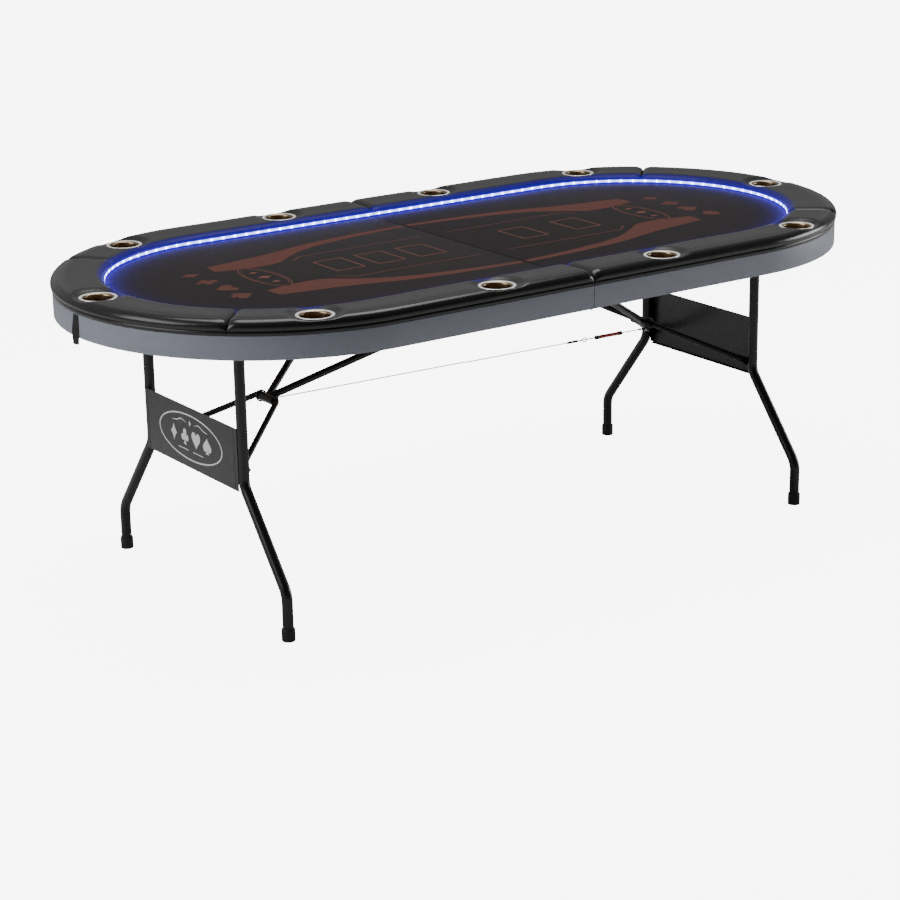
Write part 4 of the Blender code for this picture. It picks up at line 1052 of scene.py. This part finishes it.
def add_leg_mounts(side, word):
    """Brackets under the deck with their screws, and the rod that the legs turn on."""
    profile = [(0, -ROD_REACH), (0.0050, -ROD_REACH), (0.0060, -ROD_REACH + 0.001),
               (0.0060, ROD_REACH - 0.001), (0.0050, ROD_REACH), (0, ROD_REACH)]
    rod = Shape().lathe(profile, (side * LEG_X, 0, PIVOT_Z), ALONG_Y, 28)
    rod.piece(f"{word}_pivot_rod", f"{word}_half", ZINC, "zinc", [f"{word}_leg_pivot_rod"])
    corners = [(x, y) for x in (-0.0155, 0.0155) for y in (-0.0085, 0.0085)]
    screws = Shape()
    for _, end in ENDS:
        # The folded upper arm lies over the outer side of its bracket: no screw there.
        for kind, places in (("leg", corners), ("brace", [(-side * 0.0125, 0)])):
            node = f"{word}_{end}_{kind}_bracket"
            refined(node, ZINC, 0.0006)
            middle = sum(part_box(node), Vector()) / 2
            for x, y in places:
                screws.screw((middle.x + x, middle.y + y, DECK_LOW - 0.0033), DOWN, 0.0029)
    screws.piece(f"{word}_bracket_screws", f"{word}_half", ZINC, "zinc")


# Braces -------------------------------------------------------------------------
def flat_ended_arm(shape, side, start, y_at, flat, radius, tip, sheet, shares):
    """Arm from a pin at start, (x, z), to the knuckle, with its pin end hammered flat.

    flat is (first, last distance, half width), tip is (round radius, half width, length),
    sheet is (side y, thickness), and y_at gives the arm's y from its share and roundness.
    """
    length = (KNUCKLE - start).length
    first, last = flat[0] / length, flat[1] / length
    path, radii = [], []
    for share in steps_between(first, last, 12) + shares(last):
        roundness = eased((share - first) / (last - first))
        spot = start.lerp(KNUCKLE, share)
        path.append(Vector((side * spot.x, y_at(share, roundness), spot.y)))
        wide, thin = (low + (radius - low) * roundness for low in (flat[2], FLAT_HALF_SHEET))
        radii.append((wide, thin))
    shape.tube(path, radii, ALONG_Y, 28)

    end = start.lerp(KNUCKLE, tip[2] / length)
    foot = Vector((side * start.x, sheet[0], start.y))
    far = Vector((side * end.x, sheet[0], end.y))
    along = (far - foot).normalized()
    across = Vector((-along.z, 0, along.x))
    outline = [foot + along * u + across * v
               for u, v in arc((0, 0), (tip[0], tip[0]), QUARTER, 3 * QUARTER, 14)]
    outline += [far - across * tip[1], far + across * tip[1]]
    shape.prism(outline, (0, sheet[1], 0))


def add_braces(side, word):
    """V of upper arms with the knuckle sleeve, and the two lower arms with their ears."""
    knuckle = Vector((side * KNUCKLE.x, 0, KNUCKLE.y))
    sleeve = [(0, -SLEEVE_HALF), (SLEEVE_RADIUS - 0.001, -SLEEVE_HALF),
              (SLEEVE_RADIUS, -SLEEVE_HALF + 0.001), (SLEEVE_RADIUS, SLEEVE_HALF - 0.001),
              (SLEEVE_RADIUS - 0.001, SLEEVE_HALF), (0, SLEEVE_HALF)]
    upper = Shape().lathe(sleeve, knuckle, ALONG_Y, 36)
    upper_length = (KNUCKLE - BRACE_TOP).length
    bent_y = (BRACE_TOP_Y - 0.0075) / (1 - 0.036 / upper_length)
    ear_inner = SLEEVE_HALF + EAR_GAP
    ear_outer = ear_inner + EAR_SHEET
    arm_y = ear_outer + LOWER_ARM_RADIUS - 0.001
    disc = [(0, 0), (SLEEVE_RADIUS - 0.0006, 0), (SLEEVE_RADIUS, 0.0006),
            (SLEEVE_RADIUS, EAR_SHEET - 0.0006), (SLEEVE_RADIUS - 0.0006, EAR_SHEET), (0, EAR_SHEET)]
    for sign, end in ENDS:
        def upper_y(share, roundness):
            return sign * (BRACE_TOP_Y - 0.0002 + (bent_y * (1 - share) - BRACE_TOP_Y) * roundness)

        def lower_y(share, roundness):
            straight_y = arm_y + (TAB_Y - 0.009 - arm_y) * (1 - share)
            return sign * (TAB_Y - 0.0002 + (straight_y - TAB_Y) * roundness)

        flat_ended_arm(
            upper, side, BRACE_TOP, upper_y, (0.016, 0.050, 0.0088), UPPER_ARM_RADIUS,
            (0.009, 0.0080, 0.030), (sign * BRACE_TOP_Y - 0.0023, 0.0046),
            lambda last: steps_between(last, 1.0, 6)[1:])
        lower = Shape().lathe(disc, knuckle + Vector((0, sign * ear_inner, 0)), (0, sign, 0), 32)
        lower.hex_head(knuckle + Vector((0, sign * ear_outer, 0)), (0, sign, 0), 0.0068, 0.0045)
        flat_ended_arm(
            lower, side, BRACE_FOOT, lower_y, (0.012, 0.040, 0.0085), LOWER_ARM_RADIUS,
            (0.0095, 0.0078, 0.024), (sign * TAB_Y - 0.0024, 0.0048), lambda last: [0.5, 1.0])
        lower.piece(f"{word}_{end}_lower_brace", f"{word}_lower_brace_arms", COAT, "frame_black",
                    [f"{word}_{end}_lower_arm"])
    upper.piece(f"{word}_upper_arms", f"{word}_upper_brace_arms", COAT, "frame_black",
                [f"{word}_upper_brace"])


# Tension cable ------------------------------------------------------------------
def cable_point(side, distance):
    """Point of a half cable, a given distance from the table's middle."""
    share = distance / KNUCKLE.x
    aside = CABLE_SIDE_MIDDLE + (CABLE_SIDE_KNUCKLE - CABLE_SIDE_MIDDLE) * share
    return Vector((side * distance, -side * aside, KNUCKLE.y - CABLE_DROP))


def add_rope(shape, side, first, last):
    """Six wires laid round a core, between two distances from the table's middle."""
    start, end = cable_point(side, first), cable_point(side, last)
    up = Vector(ALONG_Z)
    out = (end - start).normalized().cross(up)
    turns = (last - first) / ROPE_PITCH
    shape.tube([start, end], 0.0007, ALONG_Z, 6)
    for wire in range(6):
        path = []
        for share in steps_between(0.0, 1.0, int(turns * 9)):
            turn = math.tau * (share * turns + wire / 6)
            around = out * math.cos(turn) + up * math.sin(turn)
            path.append(start.lerp(end, share) + around * ROPE_LAY_RADIUS)
        shape.tube(path, 0.00052, ALONG_Z, 6)


def add_ferrule(shape, side, first, last, radius):
    """Crimped sleeve with three waists, between two distances from the table's middle."""
    start, end = cable_point(side, first), cable_point(side, last)
    length = (end - start).length
    profile = [(0, 0)]
    for share in steps_between(0.0, 1.0, 24):
        edge = min(share, 1 - share) * length
        waist = 0.12 * math.sin(math.pi * 3 * share) ** 2
        fall = 1 - 0.35 * max(1 - edge / 0.001, 0.0)
        profile.append((radius * (1 - waist) * fall, share * length))
    shape.lathe(profile + [(0, length)], start, end - start, 20)


def add_cable(side, word):
    body = f"{word}_cable_run"
    hidden_end = KNUCKLE.x - 0.016
    runs = [(FOLD_GAP, hidden_end)]
    if side > 0:
        runs = [(FOLD_GAP, SPLICE_START + 0.002), (SPLICE_END - 0.002, hidden_end)]
    rope = Shape()
    for first, last in runs:
        add_rope(rope, side, first, last)
    rope.piece(f"{word}_cable_rope", body, ROPE, "cable", [f"{word}_cable"])

    centre = Vector((side * KNUCKLE.x, -side * CABLE_SIDE_KNUCKLE, KNUCKLE.y))
    ring = ellipse((SLEEVE_RADIUS + 0.0021, 0), 0.0017, 0.0021, 12)
    fittings = Shape().lathe(ring, centre, ALONG_Y, 40)
    add_ferrule(fittings, side, KNUCKLE.x - 0.034, KNUCKLE.x - 0.012, 0.0027)
    if side > 0:
        add_ferrule(fittings, side, SPLICE_START, SPLICE_END, 0.0034)
        middle = cable_point(side, HOOK_MIDDLE)
        turns = steps_between(math.radians(200), math.radians(-130), 24)
        path = [middle + Vector((HOOK_RADIUS * math.cos(t) * 1.3, 0, HOOK_RADIUS * math.sin(t)))
                for t in turns]
        hook = Shape().tube([cable_point(side, SPLICE_END), path[0]], 0.0013, ALONG_Y, 14)
        hook.tube(path, 0.0013, ALONG_Y, 14)
        hook.tube([cable_point(side, 0.372), cable_point(side, 0.402)], 0.0016, ALONG_Y, 16)
        hook.piece("cable_hook", body, ZINC, "cable")
    fittings.piece(f"{word}_cable_ends", body, PLASTIC, "frame_black")


def add_turnbuckle():
    start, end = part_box("turnbuckle_sleeve")
    first, last = cable_point(1, start.x + 0.0002), cable_point(1, end.x - 0.0002)
    length, neck, nut_length = (last - first).length, 0.0021, 0.011
    grip = length - 2 * nut_length
    profile = [(neck, nut_length)]
    for share in steps_between(0.0, 1.0, 36):
        rib = 0.00035 * math.sin(math.pi * 14 * share) ** 2
        profile.append((0.0045 + rib, nut_length + share * grip))
    profile.append((neck, length - nut_length))
    sleeve = Shape().lathe(profile, first, last - first, 28)
    sleeve.piece("turnbuckle_grip", "turnbuckle", RED, "turnbuckle", ["turnbuckle_sleeve"])
    nut = [(neck, 0), (0.0046, 0), (0.0055, 0.0009), (0.0055, 0.0118), (0.0049, 0.0130), (neck, 0.0130)]
    nuts = Shape().lathe(nut, first, last - first, 6).lathe(nut, last, first - last, 6)
    nuts.piece("turnbuckle_nuts", "turnbuckle", PLASTIC, "turnbuckle")


# Fold hinges, strap and light supply --------------------------------------------
def add_hinges(side, word):
    screws = Shape()
    for sign, end in ENDS:
        node = f"{word}_{end}_fold_leaf"
        refined(node, ZINC, 0.0004)
        low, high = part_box(node)
        face, reach = min(abs(low.y), abs(high.y)), max(abs(low.x), abs(high.x))
        for share in (0.35, 0.62, 0.88):
            place = (side * reach * share, sign * face, APRON_LOW + 0.0165)
            screws.screw(place, (0, -sign, 0), 0.0030)
    screws.piece(f"{word}_hinge_screws", f"{word}_half", ZINC, "zinc")


def add_strap():
    """Webbing strap that hangs with a slight turn and has a doubled, rounded end."""
    low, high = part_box("closing_strap")
    x, doubled_from = (low.x + high.x) / 2, 0.70
    rows = []
    for share, half in smooth_line([(0.0, 0.0096), (doubled_from, 0.0101), (0.86, 0.0090),
                                    (0.97, 0.0088), (1.0, 0.0070)], 10):
        free = eased(share / 0.60)
        turn = math.radians(20.0) * free
        across = Vector((-math.sin(turn), math.cos(turn), 0))
        out = Vector((math.cos(turn), math.sin(turn), 0))
        middle = Vector((x - 0.0003 - 0.0021 * free, 0, high.z - (high.z - low.z) * share))
        sheet = 0.0006 if share < doubled_from else 0.0009
        rows.append([middle + across * (half * u) + out * (face * sheet * (1 - 0.3 * abs(u) ** 6))
                     for face in (1, -1) for u in steps_between(-face, face, 6)])
    strap = Shape().grid(rows)
    strap.piece("closing_strap_webbing", "strap", WEBBING, "strap", ["closing_strap"], 50)
    dome = [(0, -0.0014), (0.0040, -0.0014), (0.0040, 0.0002), (0.0031, 0.0013), (0.0012, 0.0018),
            (0, 0.0018)]
    stud = Shape().lathe(dome, (x - 0.0012, 0, low.z + 0.0100), (-1, 0, 0), 28)
    stud.piece("closing_strap_stud", "strap", PLASTIC, "strap")


def add_light_supply():
    """Battery box with its lid, switch rocker and wire."""
    refined("battery_box", PLASTIC, 0.0012)
    refined("light_switch_rocker", RED, 0.0006)
    low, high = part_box("battery_box")
    lid = Shape()
    lid.block((low.x + 0.004, low.y + 0.004, low.z - 0.0009), (high.x - 0.004, 0.008, low.z + 0.0005))
    for x in steps_between(low.x + 0.012, low.x + 0.0208, 4):
        lid.block((x, -0.028, low.z - 0.0014), (x + 0.0010, -0.010, low.z - 0.0004), 0.0003, 1)
    lid.piece("battery_lid", "left_half", PLASTIC, "plastic")
    screws = Shape()
    for y in (low.y + 0.008, 0.003):
        screws.screw((high.x - 0.009, y, low.z - 0.0009), DOWN, 0.0024)
    screws.piece("battery_lid_screws", "left_half", ZINC, "zinc")
    z = DECK_LOW - 0.0018
    corners = [(low.x + 0.002, -0.020, DECK_LOW - 0.004), (low.x - 0.030, -0.020, z),
               (low.x - 0.055, -0.055, z), (low.x - 0.085, -0.060, z)]
    wire = Shape().tube(rounded_path(corners, 0.010, 6), 0.0014, ALONG_Z, 12)
    wire.piece("light_supply_wire", "left_half", PLASTIC, "plastic")


# Stage --------------------------------------------------------------------------
def add_floor(reach=60, glow=7.0):
    """Pale floor that the camera sees brighter than it lights the table."""
    corners = [(-reach, -reach, 0), (reach, -reach, 0), (reach, reach, 0), (-reach, reach, 0)]
    floor = linked("studio_floor", Shape().add(corners, [[0, 1, 2, 3]]).mesh(30.0))
    made = Finish("studio_floor", (0.86, 0.86, 0.86), 0.8, specular=0.1)
    made.vary_colour((0.84, 0.84, 0.84), (0.88, 0.88, 0.88), made.noise(1.5, 2.0))
    made.emit((1.0, 1.0, 1.0), made.times(made.node("LightPath").outputs["Is Camera Ray"], glow))
    floor.data.materials.append(made.material)


def add_sky(toward_light=(-0.20, 0.94, 0.27), spread=(-0.6, 0.85), levels=(0.04, 0.36), seen=8.0):
    """Pale studio: bright above and behind, dimmer on the camera's side."""
    world = bpy.data.worlds.new("studio")
    bpy.context.scene.world = world
    world.use_nodes = True
    tree = world.node_tree
    background = tree.nodes["Background"]
    toward = tree.nodes.new("ShaderNodeVectorMath")
    toward.operation = "DOT_PRODUCT"
    toward.inputs[1].default_value = toward_light
    ramp = tree.nodes.new("ShaderNodeMapRange")
    ramp.interpolation_type = "SMOOTHSTEP"
    for index, value in enumerate((*spread, *levels)):
        ramp.inputs[index + 1].default_value = value
    level = tree.nodes.new("ShaderNodeMix")
    level.inputs[3].default_value = seen
    for first, second in (
        (tree.nodes.new("ShaderNodeTexCoord").outputs["Generated"], toward.inputs[0]),
        (toward.outputs["Value"], ramp.inputs[0]),
        (tree.nodes.new("ShaderNodeLightPath").outputs["Is Camera Ray"], level.inputs[0]),
        (ramp.outputs[0], level.inputs[2]),
        (level.outputs[0], background.inputs["Strength"]),
    ):
        tree.links.new(first, second)
    background.inputs["Color"].default_value = (1.0, 1.0, 1.0, 1.0)


def add_light(name, place, target_z, width, height, power):
    """Rectangular softbox aimed at a point over the table's middle."""
    data = bpy.data.lights.new(name, "AREA")
    data.shape = "RECTANGLE"
    data.size, data.size_y, data.energy = width, height, power
    lamp = linked(name, data)
    lamp.location = place
    lamp.rotation_mode = "QUATERNION"
    lamp.rotation_quaternion = (Vector((0, 0, target_z)) - Vector(place)).to_track_quat("-Z", "Y")


def add_camera(place=(-3.3001, -4.6629, 2.0244), yaw=0.9619, pitch=0.3089, roll=-0.017, lens=95.17):
    flat = Vector((math.cos(yaw), math.sin(yaw), 0)) * math.cos(pitch)
    ahead = flat - Vector((0, 0, math.sin(pitch)))
    level = Vector((math.sin(yaw), -math.cos(yaw), 0))
    above = level.cross(ahead)
    right = level * math.cos(roll) + above * math.sin(roll)
    up = above * math.cos(roll) - level * math.sin(roll)
    data = bpy.data.cameras.new("camera")
    data.lens, data.sensor_width = lens, 36.0
    camera = linked("camera", data)
    turn = Matrix((right, up, -ahead)).transposed().to_4x4()
    camera.matrix_world = Matrix.Translation(place) @ turn
    bpy.context.scene.camera = camera


HALF_BUILDERS = (add_rails, add_cloth, add_cloth_print, add_light_strip, add_boards, add_cups,
                 add_leg_frame, add_leg_mounts, add_braces, add_cable)
for side, word in SIDES:
    for build in HALF_BUILDERS:
        build(side, word)
add_turnbuckle()
for side, word in SIDES:
    add_hinges(side, word)
add_strap()
add_light_supply()
add_floor()
add_sky()
add_light("left_softbox", (-4.2, 0.3, 2.4), 0.5, 2.4, 2.4, 76)
add_light("right_softbox", (4.5, -1.6, 1.2), 0.5, 2.4, 1.6, 88)
add_light("top_softbox", (0, 0.2, 3.6), 0.6, 3.4, 1.8, 85)
add_camera()
